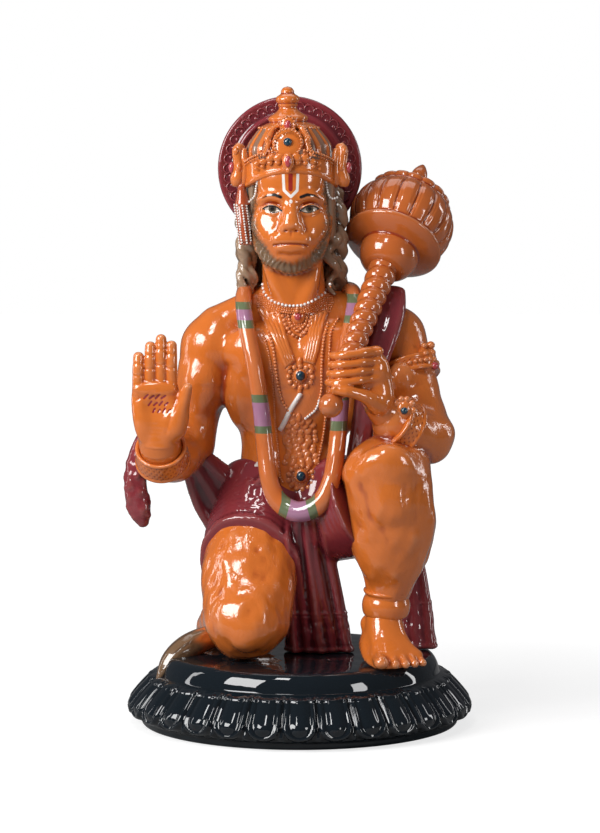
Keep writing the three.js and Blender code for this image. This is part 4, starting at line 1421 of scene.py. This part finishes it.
def crown(material):
    profile = [
        [6.6, 0.3], [8.1, 0.0], [8.4, 0.25], [8.45, 0.6], [8.3, 0.95], [8.3, 2.2], [8.3, 3.4], [8.45, 3.8],
        [8.35, 4.2], [7.9, 4.4], [7.5, 4.8], [7.55, 5.8], [7.5, 6.9], [7.25, 7.9], [6.7, 8.8], [5.95, 9.8],
        [5.3, 10.6], [5.2, 10.95], [4.7, 11.3], [3.9, 11.65], [3.3, 11.85], [3.4, 12.1], [3.58, 12.5],
        [3.35, 12.85], [2.7, 13.3], [2.1, 13.7], [1.7, 14.1], [1.62, 14.5], [1.78, 14.8], [1.72, 15.1],
        [2.05, 15.5], [2.13, 15.9], [1.9, 16.35], [1.35, 16.7], [1.15, 16.95], [1.15, 17.3], [0.75, 17.85],
        [0, 18.1],
    ]

    def gores(radius, along, angle):
        if 4.8 < along < 11:
            seam = 1 - abs(math.cos(16 * angle)) ** 0.5
            return (0.1 - 0.42 * seam) * float(smooth(4.8, 5.6, along) * smooth(11, 10.2, along))
        return 0

    shape = spun(profile, (-2.1, 0.6, 82), (-2.6, 0.6, 100), 128, gores, 0.22)
    rise = 3.0 * UNIT
    base = metres((-2.1, 0.6, 82))
    for v in shape.verts:
        up = (v.co.z - base[2]) / UNIT
        front = max(0, (base[1] - v.co.y) / UNIT / 8.4)
        v.co.z += rise * front ** 1.4 * float(smooth(8.5, 3.6, up))
    pool_and_shade(shape)
    piece = finish_shape("crown", shape, material)

    def gore(x, y, z):
        turn = np.arctan2(y - 0.6, x + 2.3)
        return np.where((z > 87.2) & (z < 92.7), 0.5 * np.cos(16 * turn), 9)

    mark(piece, gore=gore)
    return piece


def front_band(angle):
    """Height of the crown band's lower edge at an angle from the front, and its place."""
    x, y = -2.15 + 8.6 * math.sin(angle), 0.6 - 8.6 * math.cos(angle)
    return x, y, 82.1 + 3.0 * max(0, math.cos(angle)) ** 1.4


def medallion(shape, jewels, stones, beads):
    """The medallion with its ring of beads, and the leaf above it."""
    middle = np.array((-2.5, -7.5, 90.25))
    facing = unit((0, -1, 0.3))
    disc = [
        [0, -1.6], [2.3, -1.5], [2.7, -0.9], [2.65, -0.4], [2.3, -0.15], [1.6, 0.1], [0.8, 0.2], [0, 0.22]
    ]
    gather(shape, spun(disc, middle, middle + facing, 40, None, 0.2))
    bead(stones, middle + facing * 0.35, 0.76, (1, 0.8, 1), fine=1)
    for t in turns(26):
        bead(beads, middle + (2.4 * math.cos(t), -0.25 - 0.1 * math.sin(t), 2.35 * math.sin(t)), 0.24)
    leaf = middle + (0, 2.5, 3.05)
    bead(shape, middle + (0, 1.6, 0), 2.6, (1, 0.6, 1), fine=2)
    bead(shape, leaf + (0, 0.7, -0.4), 1.5, (1, 0.8, 1.2), fine=2)
    bead(shape, leaf, 1.5, (1, 0.5, 1.15), fine=2)
    bead(jewels, leaf + (0, -0.65, 0), 0.72, (0.85, 0.6, 1.2), fine=1)
    for t in turns(14):
        bead(beads, leaf + (1.25 * math.cos(t), -0.5, 1.5 * math.sin(t)), 0.2)


def crown_sides(shape, beads):
    """The swags beside the medallion, and the lobes in a row under them."""
    for way in (-1, 1):
        swag = [
            [-2.5 + way * 1.3, -4.8, 93.3], [-2.5 + way * 2.4, -4.9, 92.7], [-2.5 + way * 3.2, -5.9, 91.2],
            [-2.5 + way * 3.5, -6.7, 89.4], [-2.5 + way * 4.2, -7.3, 87.9],
        ]
        cord(shape, [[*p, r] for p, r in zip(swag, (0.3, 0.42, 0.5, 0.42, 0.3))], 0.4, 8, 0.4)
        for p in along(swag, 0.5):
            bead(beads, p[:3] + (way * 0.45, -0.1, 0.1), 0.2)
        bead(shape, (-2.5 + way * 3.4, -6.3, 90.6), 0.9, (0.7, 0.6, 1.1), (0, way * 20, 0), fine=1)
        for i, (x, z, r) in enumerate(
            ((1.5, 87.7, 0.95), (2.9, 87.6, 0.85), (4.2, 87.0, 0.7), (5.3, 86.6, 0.55))
        ):
            y = 0.6 - math.sqrt(8.5 ** 2 - (x - 0.3) ** 2)
            bead(shape, (-2.5 + way * x, y + 0.1, z), r, (1.1, 0.5, 0.8), (0, way * (30 - 12 * i), 0), fine=1)
            bead(shape, (-2.5 + way * (x + 0.2), y + 0.1, z - 0.9), r * 0.6, (1.0, 0.5, 0.8), fine=1)


def drop_and_rows(shape, jewels, beads):
    """The drop over the forehead, and the rows of beads on the band and round the finial."""
    drop = np.array((-2.46, -8.7, 87.0))
    bead(shape, drop + (0, 0.45, -0.1), 1.25, (0.85, 0.5, 1.3), fine=1)
    bead(jewels, drop, 0.9, (0.62, 0.5, 1.15), fine=1)
    bead(shape, drop + (0, 0.2, -1.5), 0.5, (0.8, 0.6, 1.1), fine=1)
    for t in np.linspace(-1.35, 1.35, 42):
        x, y, z = front_band(t)
        if abs(x + 2.46) > 2.3:
            bead(beads, (x, y - 0.05, z + 4.0), 0.26)
            bead(beads, (x, y - 0.05, z + 3.4), 0.14)
    for t in turns(24):
        bead(beads, (-2.35 + 5.25 * math.cos(t), 0.6 + 5.25 * math.sin(t), 92.85), 0.22)


def ear_brackets(shape, jewels):
    """The brackets over the ears, each a thick scroll with a gem on its outer side."""
    for way in (-1, 1):
        heart = np.array((-2.1 + way * 8.75, -1.9, 86.2))
        scroll = [
            [-0.5, 0.5, 3.0, 0.6], [0.2, 0.1, 3.3, 0.85], [0.45, 0.0, 2.5, 1.0], [0.35, -0.1, 1.2, 0.95],
            [0.2, -0.1, 0.0, 1.0], [0.3, 0.0, -1.2, 1.1], [0.6, 0.2, -2.4, 1.2], [0.5, 0.5, -3.4, 0.9],
        ]
        flute = [
            [-0.6, 0.0, 3.0, 0.55], [-0.7, -0.2, 1.6, 0.75], [-0.85, -0.2, 0, 0.8], [-0.8, -0.1, -1.6, 0.85],
            [-0.6, 0.2, -3.2, 0.7],
        ]
        for path, sides in ((scroll, 14), (flute, 12)):
            rows = [[heart[0] + way * a, heart[1] + b, heart[2] + c, radius] for a, b, c, radius in path]
            cord(shape, rows, None, sides, 0.35)
        bead(shape, heart + (way * 0.7, -0.9, 2.6), 0.6, (0.8, 0.6, 1.2), fine=1)
        bead(shape, heart + (way * 0.2, -1.0, -0.2), 0.55, (0.8, 0.6, 1.5), fine=1)
        bead(jewels, heart + (way * 1.5, -0.2, -0.3), 0.8, (0.7, 0.7, 1.2), fine=1)


def crown_trim(material, gems, stone, pearls):
    shape, jewels, stones, beads = (bmesh.new() for _ in range(4))
    medallion(shape, jewels, stones, beads)
    crown_sides(shape, beads)
    drop_and_rows(shape, jewels, beads)
    ear_brackets(shape, jewels)
    pool_and_shade(shape)
    pool_and_shade(beads)
    finish_shape("crown_ornament", shape, material)
    finish_shape("crown_gems", jewels, gems)
    finish_shape("crown_stone", stones, stone)
    finish_shape("crown_beads", beads, pearls)


def halo(material, trim):
    centre, ahead = np.array((-2.2, 11.2, 85.7)), np.array((0, -1, 0))
    profile = [
        [0, -1.1], [2.2, -1.05], [2.8, -0.8], [3.0, -0.6], [10.2, -0.6], [10.5, -0.8], [11.2, -0.8],
        [11.5, -0.6], [12.2, -0.55], [12.7, -0.3], [12.9, 0.1], [12.8, 0.5], [12.5, 0.72], [12.2, 0.6],
        [11.9, 0.45], [10.2, 0.42], [10.0, 0.6], [9.8, 0.85], [9.55, 0.92], [9.3, 0.8], [9.05, 0.55],
        [8.8, 0.42], [6.0, 0.4], [3.0, 0.4], [0, 0.4],
    ]
    shape = spun(profile, centre, centre + ahead, 96)
    pool_and_shade(shape)
    finish_shape("halo", shape, material)
    leaves = bmesh.new()
    for t in turns(40):
        out, round_ = np.array((math.cos(t), 0, math.sin(t))), np.array((-math.sin(t), 0, math.cos(t)))
        curl = []
        for turn in np.linspace(-1.7, 2.2, 9):
            spot = out * (11.05 + 0.8 * math.cos(turn)) + round_ * 0.82 * math.sin(turn)
            curl.append([*(centre + ahead * (0.42 + 0.05 * math.cos(turn)) + spot), 0.2 - 0.03 * abs(turn)])
        cord(leaves, curl, 0.2, 6, 0.4)
        bead(leaves, centre + ahead * 0.4 + out * 10.75 - round_ * 0.3, 0.34, (1, 0.4, 1))
    pool_and_shade(leaves)
    finish_shape("halo_leaves", leaves, trim)


MACE_LOBES = 17
MACE_FOOT, MACE_TOP = np.array((4.9, -18.6, 45.6)), np.array((17.5, 7.4, 75.7))


def mace(material):
    shaft = [
        [0, -2.15], [0.9, -2.0], [1.6, -1.45], [2.0, -0.75], [2.12, 0], [2.0, 0.75], [1.6, 1.4], [1.35, 1.7]
    ]
    shaft += [[1.35 + 0.0085 * i, 2.0 + i * 0.3] for i in range(101)] + [[1.6, 32.4], [0, 32.6]]

    def rope(radius, along, angle):
        if along < 1.8 or along > 32.3:
            return 0
        turn = along / 2.45 - angle / (2 * math.pi)
        return 0.52 * abs(math.sin(math.pi * turn)) ** 0.85 * float(smooth(1.8, 3, along))

    shape = spun(shaft, MACE_FOOT, MACE_TOP, 32, rope)
    head = [
        [0, 31.0], [3.1, 31.1], [4.1, 31.7], [4.85, 32.7], [5.25, 33.8], [5.35, 34.7], [5.15, 35.15],
        [5.3, 35.4], [6.2, 35.65], [7.4, 36.1], [8.3, 36.6], [8.75, 37.0], [8.8, 37.35], [8.5, 37.6],
        [8.1, 37.7], [8.0, 38.1], [8.3, 38.9], [8.85, 40.0], [9.2, 41.4], [9.25, 42.6], [9.05, 44.0],
        [8.5, 45.3], [7.7, 46.4], [7.2, 47.0], [7.35, 47.3], [7.5, 47.7], [7.3, 48.2], [6.2, 48.9],
        [4.4, 49.6], [2.2, 50.3], [1.2, 50.7], [0.8, 51.2], [1.05, 51.7], [0.85, 52.1], [1.2, 52.7],
        [1.45, 53.5], [1.3, 54.5], [0.75, 55.6], [0.3, 56.2], [0, 56.4],
    ]

    def gores(radius, along, angle):
        phase = abs((angle * MACE_LOBES / (2 * math.pi)) % 1 * 2 - 1)
        if 37.9 < along < 47.1:
            fade = float(smooth(37.9, 39, along) * smooth(47.1, 46.2, along))
            valley = math.exp(-(((1 - phase) / 0.13) ** 2))
            line = math.exp(-(((phase - 0.66) / 0.1) ** 2))
            return fade * (0.16 - 0.2 * phase ** 4 - 0.4 * valley - 0.14 * line)
        if 47.1 <= along < 50:
            return -0.35 * phase ** 3 * float(smooth(50, 48.4, along))
        return 0

    gather(shape, spun(head, MACE_FOOT, MACE_TOP, 306, gores, 0.35))
    pool_and_shade(shape)
    finish_shape("mace", shape, material)


def ring_of(shape, base, ahead, radius, count, size, squash=(1, 1, 1)):
    """Beads in a ring about a line."""
    ahead = unit(ahead)
    side = unit(np.cross(ahead, (0.3, 0.2, 1)))
    over = np.cross(ahead, side)
    for t in turns(count):
        bead(shape, base + (side * math.cos(t) + over * math.sin(t)) * radius, size, squash)


def net(count, low, high, depth):
    """The relief of a net of crossing cords, count a turn, between two places along the axis."""

    def relief(_, along, angle):
        if not low < along < high:
            return 0
        a, b = count * angle / 2, math.pi * (along - low) / (high - low) * 2
        return depth * (max(abs(math.sin(a + b)), abs(math.sin(a - b))) - 0.75)

    return relief


def wide_bracelet(shape):
    """The wide bracelet of the raised arm."""
    wide = [
        [0, -1.8], [3.6, -1.9], [4.4, -2.25], [4.75, -2.3], [4.9, -2.05], [4.85, -1.75], [4.65, -1.55],
        [4.6, 0], [4.4, 1.4], [4.5, 1.6], [4.5, 1.9], [4.3, 2.1], [3.9, 2.0], [3.4, 1.6], [0, 1.5],
    ]
    wrist = np.array((-24.45, -8.5, 36.3))
    gather(shape, spun(wide, wrist, wrist + (-0.06, -0.75, 0.66), 120, net(30, -1.45, 1.3, 0.16), 0.21))


def armlet(shape, jewels):
    """The armlet with its plate, on the arm that holds the mace."""
    arm = np.array((18.7, 0.0, 49.8)), unit((1.2, -1.6, -3.8))
    band = [
        [0, -1.3], [4.8, -1.4], [5.4, -1.5], [5.6, -1.2], [5.5, -0.8], [5.3, -0.6], [5.3, 0.6], [5.5, 0.8],
        [5.6, 1.2], [5.4, 1.5], [4.8, 1.4], [0, 1.3],
    ]
    gather(shape, spun(band, arm[0], arm[0] + arm[1], 96, net(30, -0.7, 0.7, 0.2), 0.2))
    ring_of(shape, arm[0], arm[1], 5.45, 34, 0.4)
    bead(shape, (21.6, -1.4, 51.2), 3.9, (0.5, 0.6, 1.0), (0, 8, 0), fine=2)
    for i, dz in enumerate((3.6, 2.3, 1.1, -1.1, -2.3, -3.6)):
        bow = 0.09 * dz - 0.05 * dz * dz
        bead(shape, (22.9 + bow, -2.3, 51.2 + dz), 0.95 - 0.12 * (i % 2), (0.8, 0.8, 0.75), fine=1)
        bead(shape, (21.7 + bow, -3.4, 51.2 + dz), 0.6, (0.9, 0.8, 0.8))
    bead(jewels, (23.3, -3.1, 51.2), 0.7, fine=1)


def cuff_and_flower(shape, stones):
    """The cuff of the same arm, and the flower on it."""
    wrist = np.array((16.8, -11.7, 41.6)), unit((3.0, 2.1, -2.0))
    cuff = [
        [0, -1.5], [3.9, -1.7], [4.6, -1.8], [4.8, -1.5], [4.75, -1.2], [4.6, -1.0], [4.85, 1.0],
        [5.05, 1.2], [5.15, 1.5], [5.0, 1.8], [4.2, 1.7], [0, 1.6],
    ]
    gather(shape, spun(cuff, wrist[0], wrist[0] + wrist[1], 96, net(26, -1.1, 1.1, 0.2), 0.2))
    flower = np.array((17.5, -15.3, 44.4))
    for t in turns(10):
        bead(shape, flower + (1.6 * math.cos(t), 0.1, 2.0 * math.sin(t)), 0.62, (1, 0.7, 1))
    bead(shape, flower + (0, 0.2, 0), 1.5, (1, 0.6, 1.2), fine=1)
    bead(stones, flower + (0, -0.75, 0), 0.66, fine=1)


def anklet(shape):
    ankle = [
        [3.2, -2.2], [3.7, -2.3], [4.0, -2.0], [4.2, -1.2], [4.25, -0.4], [4.1, 0.4], [3.85, 1.0],
        [3.8, 1.4], [4.05, 1.7], [4.15, 2.0], [3.95, 2.3], [3.2, 2.3],
    ]
    gather(shape, spun(ankle, (14.7, -9.1, 10.3), (14.85, -9.4, 13), 64, None, 0.2))


def bracelets(material, gems, stone):
    shape, jewels, stones = (bmesh.new() for _ in range(3))
    wide_bracelet(shape)
    armlet(shape, jewels)
    cuff_and_flower(shape, stones)
    anklet(shape)
    pool_and_shade(shape)
    finish_shape("bracelets", shape, material)
    finish_shape("bracelet_gems", jewels, gems)
    finish_shape("bracelet_stone", stones, stone)


def bead_line(shape, ground, points, size, pitch, lift=0.5):
    """A string of beads over the chest through [x, z] points."""
    for x, z in along([[px, 0, pz] for px, pz in points], pitch)[:, [0, 2]]:
        bead(shape, (x, ground.front(x, z) - size * lift, z), size)


def chest_cord(shape, ground, points, radius, pitch=0.9, lift=0.3, sides=6):
    rows = along([[px, 0, pz] for px, pz in points], pitch)
    cord(shape, [[x, ground.front(x, z) - radius * lift, z] for x, z in rows[:, [0, 2]]], radius, sides, 0.5)


def collars(shape, beads, ground):
    """The pearls at the throat, and the wide woven collar under them."""
    collar = [
        (-7.0, 65.35), (-6.66, 63.95), (-5.44, 62.7), (-4.04, 62.2), (-2.47, 61.86), (-0.73, 61.86),
        (0.14, 62.0), (1.71, 62.6), (2.93, 63.3), (4.15, 64.1), (4.85, 65.7),
    ]
    bead_line(beads, ground, collar, 0.28, 0.66)
    for row in range(9):
        drop = 0.5 + 0.42 * row
        line = [(x * (1 + 0.035 * drop), z - drop * (1 - 0.1 * abs(x + 1) / 6)) for x, z in collar]
        bead_line(shape, ground, line, 0.17, 0.42, 0.1)


def drapery(shape, ground):
    """Soft drapery that falls in a V from the shoulders."""
    for outer, inner in (
        (
            [(-7.6, 61.2), (-5.9, 58.2), (-4.1, 54.7), (-2.7, 51.2)],
            [(-3.9, 60.4), (-3.1, 56.5), (-2.3, 54.0), (-1.6, 52.2)],
        ),
        (
            [(4.2, 60.6), (3.1, 56.8), (2.5, 53.9), (1.8, 51.8)],
            [(1.7, 59.9), (1.4, 56.5), (1.0, 54.0), (0.6, 52.1)],
        ),
    ):
        for share in (0.06, 0.36, 0.66, 0.94):
            line = [
                (a[0] + (b[0] - a[0]) * share, a[1] + (b[1] - a[1]) * share) for a, b in zip(outer, inner)
            ]
            chest_cord(shape, ground, line, 0.62, 0.8, -0.3, 10)
        for left, right in zip(
            along([(x, 0, z) for x, z in outer], 0.5)[:9], along([(x, 0, z) for x, z in inner], 0.5)
        ):
            chest_cord(shape, ground, [(left[0], left[2]), (right[0], right[2])], 0.1, 0.4, 2.6)


def bead_strings(shape, beads, ground):
    """Strings of small beads."""
    left_long = [
        (-7.0, 57.5), (-6.2, 55), (-5.5, 51.7), (-5.0, 47.2), (-4.8, 42.2), (-4.3, 37.2), (-3.9, 32.2),
        (-3.4, 30.9),
    ]
    left_short = [
        (-6.3, 58.5), (-5.5, 56.2), (-4.9, 53.5), (-4.6, 50.7), (-4.1, 47.5), (-3.4, 45), (-2.1, 43.2),
        (-0.9, 42.5),
    ]
    right_short = [(4.5, 58.7), (3.9, 56.5), (3.5, 53.5), (3.4, 50.7), (3.4, 47.5), (3.1, 45.7)]
    right_long = [
        (6.3, 59.4), (5.1, 57.5), (4.8, 54.7), (4.7, 52.2), (4.7, 49.7), (4.3, 45), (3.9, 40.2), (3.4, 37.2),
        (2.9, 34.7), (2.9, 31.4),
    ]
    bead_line(shape, ground, left_long, 0.22, 0.45)
    bead_line(shape, ground, left_short, 0.32, 0.6)
    bead_line(shape, ground, right_short, 0.3, 0.56)
    bead_line(shape, ground, right_long, 0.27, 0.52)
    bead_line(beads, ground, [(3.1, 45.7), (2.4, 43.7), (0.6, 42.1)], 0.26, 0.5)


def sacred_thread(beads, ground):
    """The sacred thread, one smooth cord."""
    for thread in (
        [(-0.2, 46.6), (-1.1, 45.2), (-2.0, 43.7), (-3.0, 41.6), (-3.9, 40.0)],
        [(-6.6, 35.5), (-7.5, 34.1), (-8.8, 32.5)],
    ):
        chest_cord(beads, ground, thread, 0.46, 0.7, 0.1, 8)


def stone_clusters(shape, jewels, stones, ground):
    """The ruby in its chains, and the two dark stones in their clusters."""
    for x, z, into in ((-0.75, 59.9, jewels), (-0.3, 49.7, stones), (-0.2, 32.0, stones)):
        y = ground.front(x, z)
        bead(shape, (x, y - 0.1, z), 1.25, (1, 0.5, 1.05), fine=1)
        bead(into, (x, y - 0.72, z), 0.62 if into is jewels else 0.84, (1, 0.75, 1.05), fine=1)
    for line in (
        [(-3.4, 60), (-2.9, 58.4), (-2.0, 57), (-0.9, 56.4)],
        [(1.6, 59.7), (1.0, 58), (0.2, 56.9), (-0.9, 56.4)],
        [(-0.9, 61.3), (-0.9, 60.9)],
    ):
        bead_line(shape, ground, line, 0.38, 0.72)
    for line in ([(-2.4, 60), (-2.0, 58.6), (-0.9, 57.4)], [(0.8, 59.7), (0.4, 58.4), (-0.7, 57.4)]):
        bead_line(shape, ground, line, 0.3, 0.6)
    for x, z, wide, tall, count, size in (
        (-0.3, 49.7, 1.3, 1.35, 18, 0.17), (-0.3, 49.5, 2.1, 1.9, 12, 0.5),
        (-0.2, 32.0, 1.35, 1.4, 18, 0.17), (-0.2, 31.7, 2.2, 2.1, 13, 0.5),
        (-0.75, 59.9, 1.0, 1.05, 14, 0.16),
    ):
        for t in turns(count):
            px, pz = x + wide * math.cos(t), z + tall * math.sin(t)
            bead(shape, (px, ground.front(px, pz) - 0.1, pz), size, (1, 0.7, 1))
    for x, z, size, lean in (
        (-0.4, 52.1, 0.7, 0), (-2.3, 51.1, 0.62, 40), (1.6, 51.2, 0.62, -40), (-0.4, 47.2, 0.6, 0),
        (-0.6, 42.3, 0.7, 0),
    ):
        bead(shape, (x, ground.front(x, z) - 0.1, z), size, (0.7, 0.6, 1.3), (0, lean, 0), fine=1)


def worked_panel(shape, ground):
    """The worked panel between the lower stones, wide at its shoulders."""
    rng = np.random.default_rng(17)
    for z, half in (
        (41.6, 1.4), (40.7, 2.0), (39.8, 2.3), (38.9, 2.4), (38.0, 2.3), (37.1, 2.1), (36.2, 2.0),
        (35.3, 2.3), (34.4, 2.6),
    ):
        for x in np.linspace(-0.3 - half, -0.1 + half, max(3, round(half * 2 / 0.95))):
            px, pz = x + rng.uniform(-0.15, 0.15), z + rng.uniform(-0.2, 0.2)
            size, tall, lean = rng.uniform(0.55, 0.8), rng.uniform(0.8, 1.4), rng.uniform(-40, 40)
            bead(shape, (px, ground.front(px, pz) + 0.1, pz), size, (1, 0.55, tall), (0, lean, 0))


def necklaces(ground, gold, gems, stone, pearls):
    shape, jewels, stones, beads = (bmesh.new() for _ in range(4))
    collars(shape, beads, ground)
    drapery(shape, ground)
    bead_strings(shape, beads, ground)
    sacred_thread(beads, ground)
    stone_clusters(shape, jewels, stones, ground)
    worked_panel(shape, ground)
    pool_and_shade(shape)
    pool_and_shade(beads)
    finish_shape("necklaces", shape, gold)
    finish_shape("necklace_gem", jewels, gems)
    finish_shape("necklace_stones", stones, stone)
    finish_shape("necklace_pearls", beads, pearls)


def ear_pendant(material, pearls):
    shape, beads = bmesh.new(), bmesh.new()
    cone = [[0, 0.6], [0.6, 0.4], [0.75, -0.5], [1.2, -2.4], [1.4, -3.0], [1.15, -3.3], [0, -3.4]]
    gather(shape, spun(cone, (-10.6, -2.0, 82.6), (-10.65, -2.1, 83.6), 24, None, 0.3))
    line = ((-10.75, -2.2, 79.4), (-10.3, -2.7, 76), (-9.9, -2.9, 72.9))
    cord(shape, [[*line[0], 1.0], [*line[1], 1.1], [*line[2], 1.05]], 1.0, 12, 0.6)
    for column, turn in enumerate(np.linspace(-1.5, 1.1, 4)):
        for x, y, z in along(line, 0.46):
            bead(beads, (x + 1.12 * math.sin(turn), y - 1.12 * math.cos(turn), z - 0.05 * column), 0.2)
    for x in (-0.8, -0.25, 0.3, 0.85):
        bead(shape, (-9.9 + x, -3.5, 72.7), 0.32)
    for points in (
        [[-7.6, -5.0, 84.4], [-8.0, -4.4, 82.6], [-8.3, -3.9, 81.0], [-9.2, -3.4, 80.0]],
        [[4.1, -3.9, 84.4], [4.3, -3.7, 82.4], [4.7, -3.4, 81.0], [5.3, -3.0, 80.5], [6.1, -2.6, 80.7]],
    ):
        for p in along(points, 0.48):
            bead(beads, p[:3], 0.22)
    pool_and_shade(shape)
    finish_shape("ear_pendant", shape, material)
    finish_shape("ear_pearls", beads, pearls)


# The plinth.


PETALS = 30
PETAL_LOW, PETAL_HIGH = 6.8, 40.0
STEP_RADIUS = 108
MILLIMETRE = 0.001


def plinth(material):
    profile = [
        [0, 0], [118, 0], [123, 0.4], [124.8, 1.4], [125.3, 3.4], [125.6, 5.6], [127.8, 6.8], [131.2, 8.2],
        [133.5, 10.2], [134.4, 12.8], [134.3, 15.6], [133.3, 18.4], [131.7, 21.1], [129.6, 23.8],
        [127.3, 26.6], [124.7, 29.6], [121.9, 32.6], [119.0, 35.4], [116.4, 37.6], [114.2, 39.2],
        [112.6, 40.0], [111.4, 40.2], [110.9, 40.8], [110.4, 42.6], [109.6, 45.6], [108.4, 48.6],
        [106.8, 51.4], [105.0, 53.4], [102.8, 54.6], [100.0, 55.0], [80, 55.0], [50, 55], [20, 55], [0, 55],
    ]

    def petal(radius, height, angle):
        s = (height - PETAL_LOW) / (PETAL_HIGH - PETAL_LOW)
        if not 0 < s < 1:
            return 0
        phase = (angle * PETALS / (2 * math.pi)) % 1 * 2 - 1
        outline = math.hypot(phase / 0.96, max(0, 0.4 - s) / 0.39)
        inner = math.hypot(phase / 0.66, max(0, 0.44 - s) / 0.3)
        ridge = 1.9 * math.exp(-(((outline - 0.8) / 0.12) ** 2))
        pad = 2.4 * float(smooth(1.0, 0.25, inner))
        gap = -2.8 * float(smooth(0.9, 1.06, outline))
        # A small leaf tip fills the gap between two petals near the rim.
        beside = 1 - abs(phase)
        tip = 3.4 * float(smooth(0.34, 0.1, s)) * float(smooth(0.5, 0.1, beside / max(0.1, 0.55 - s)))
        rows = float(smooth(0, 0.07, s)) * float(smooth(1.0, 0.9, s))
        return (ridge + pad + gap + tip) * rows + 1.2 * bump(s, 0.86, 1.0)

    line = spline(profile[1:-4], 0.9)
    line = np.vstack([profile[:1], line[:, :2], profile[-4:]])
    shape = lathe(line, 600, 1e-3)
    swell(shape, petal, STEP_RADIUS)
    bmesh.ops.scale(shape, vec=(MILLIMETRE,) * 3, verts=shape.verts[:])
    pool_and_shade(shape)
    return finish_shape("lotus_plinth", shape, material, "plinth")


# Everything together.

studio()
SKIN = glaze("skin", ORANGE, RUSSET, fur=0.28, mottle=0.1)
HAND = glaze("hand", ORANGE, AMBER, mottle=0.05)
PALM = glaze("palm", ORANGE, AMBER, paints=[("ink", (0.26, 0.02, 0.025))], mottle=0.05)
FACE = glaze(
    "face",
    ORANGE,
    RUSSET,
    paints=[
        ("beard", BROWN, 0.6), ("lips", (0.3, 0.05, 0.02), 0.1), ("white", WHITE),
        ("red", (0.3, 0.02, 0.015)),
        ("sclera", (0.6, 0.5, 0.42)), ("iris", (0.09, 0.07, 0.045)), ("pupil", INK), ("lid", INK),
        ("brow", INK, 0.12),
    ],
    mottle=0.05,
)
CLOTH = glaze("cloth", MAROON, WINE, ribs=0.25, thin_and_highlight=0.06, gloss=0.1)
HAIR = glaze("hair", (0.29, 0.185, 0.115), UMBER, thin_and_highlight=0.12)
TAIL = glaze(
    "tail", ORANGE, RUSSET, paints=[("tip", BROWN, 1.2), ("streak", (0.07, 0.035, 0.018), 0.5)], thin_and_highlight=0.1
)
GARLANDS = glaze("garland", (0.55, 0.13, 0.025), RUSSET, paints=[("green", GREEN), ("lilac", LILAC)])
GOLD = glaze("orange_trim", ORANGE, RUSSET)
CROWN = glaze("crown", ORANGE, RUSSET, paints=[("gore", (0.26, 0.14, 0.09), 0.1)])
# The mace is a darker, browner orange than the skin: partly its own tone, partly painted shade on the same
# porcelain.
MACE_TONE_AND_SHADE = glaze("mace", (0.5, 0.12, 0.024), RUSSET, mottle=0.08)
GEM = glaze("gem", PINK, (0.1, 0.005, 0.01), hollow=False)
SAPPHIRE = glaze("sapphire", TEAL, (0.001, 0.008, 0.015), hollow=False)
PEARL = glaze("pearl", WHITE, (0.4, 0.3, 0.3), hollow=False)
PENDANT = glaze("pendant", (0.4, 0.07, 0.02), RUSSET)
HALO = glaze("halo", MAROON, WINE, thin_and_highlight=0.05, gloss=0.1)
BLACK = glaze("plinth", PLINTH_BLACK, (0.002, 0.003, 0.004), thin_and_highlight=0.0, gloss=0.0)

skin_body = body(SKIN)
open_hand(PALM)
fist(HAND)
foot(HAND)
skin_head = head(FACE)
waist_cloth(CLOTH)
scarf(CLOTH)
hair(HAIR)
tail(TAIL)
garland(GARLANDS)
crown(CROWN)
crown_trim(GOLD, GEM, SAPPHIRE, GOLD)
halo(HALO, HALO)
mace(MACE_TONE_AND_SHADE)
bracelets(GOLD, GEM, SAPPHIRE)
necklaces(Ground(skin_body, skin_head), GOLD, GEM, SAPPHIRE, PEARL)
ear_pendant(PENDANT, PEARL)
plinth(BLACK)
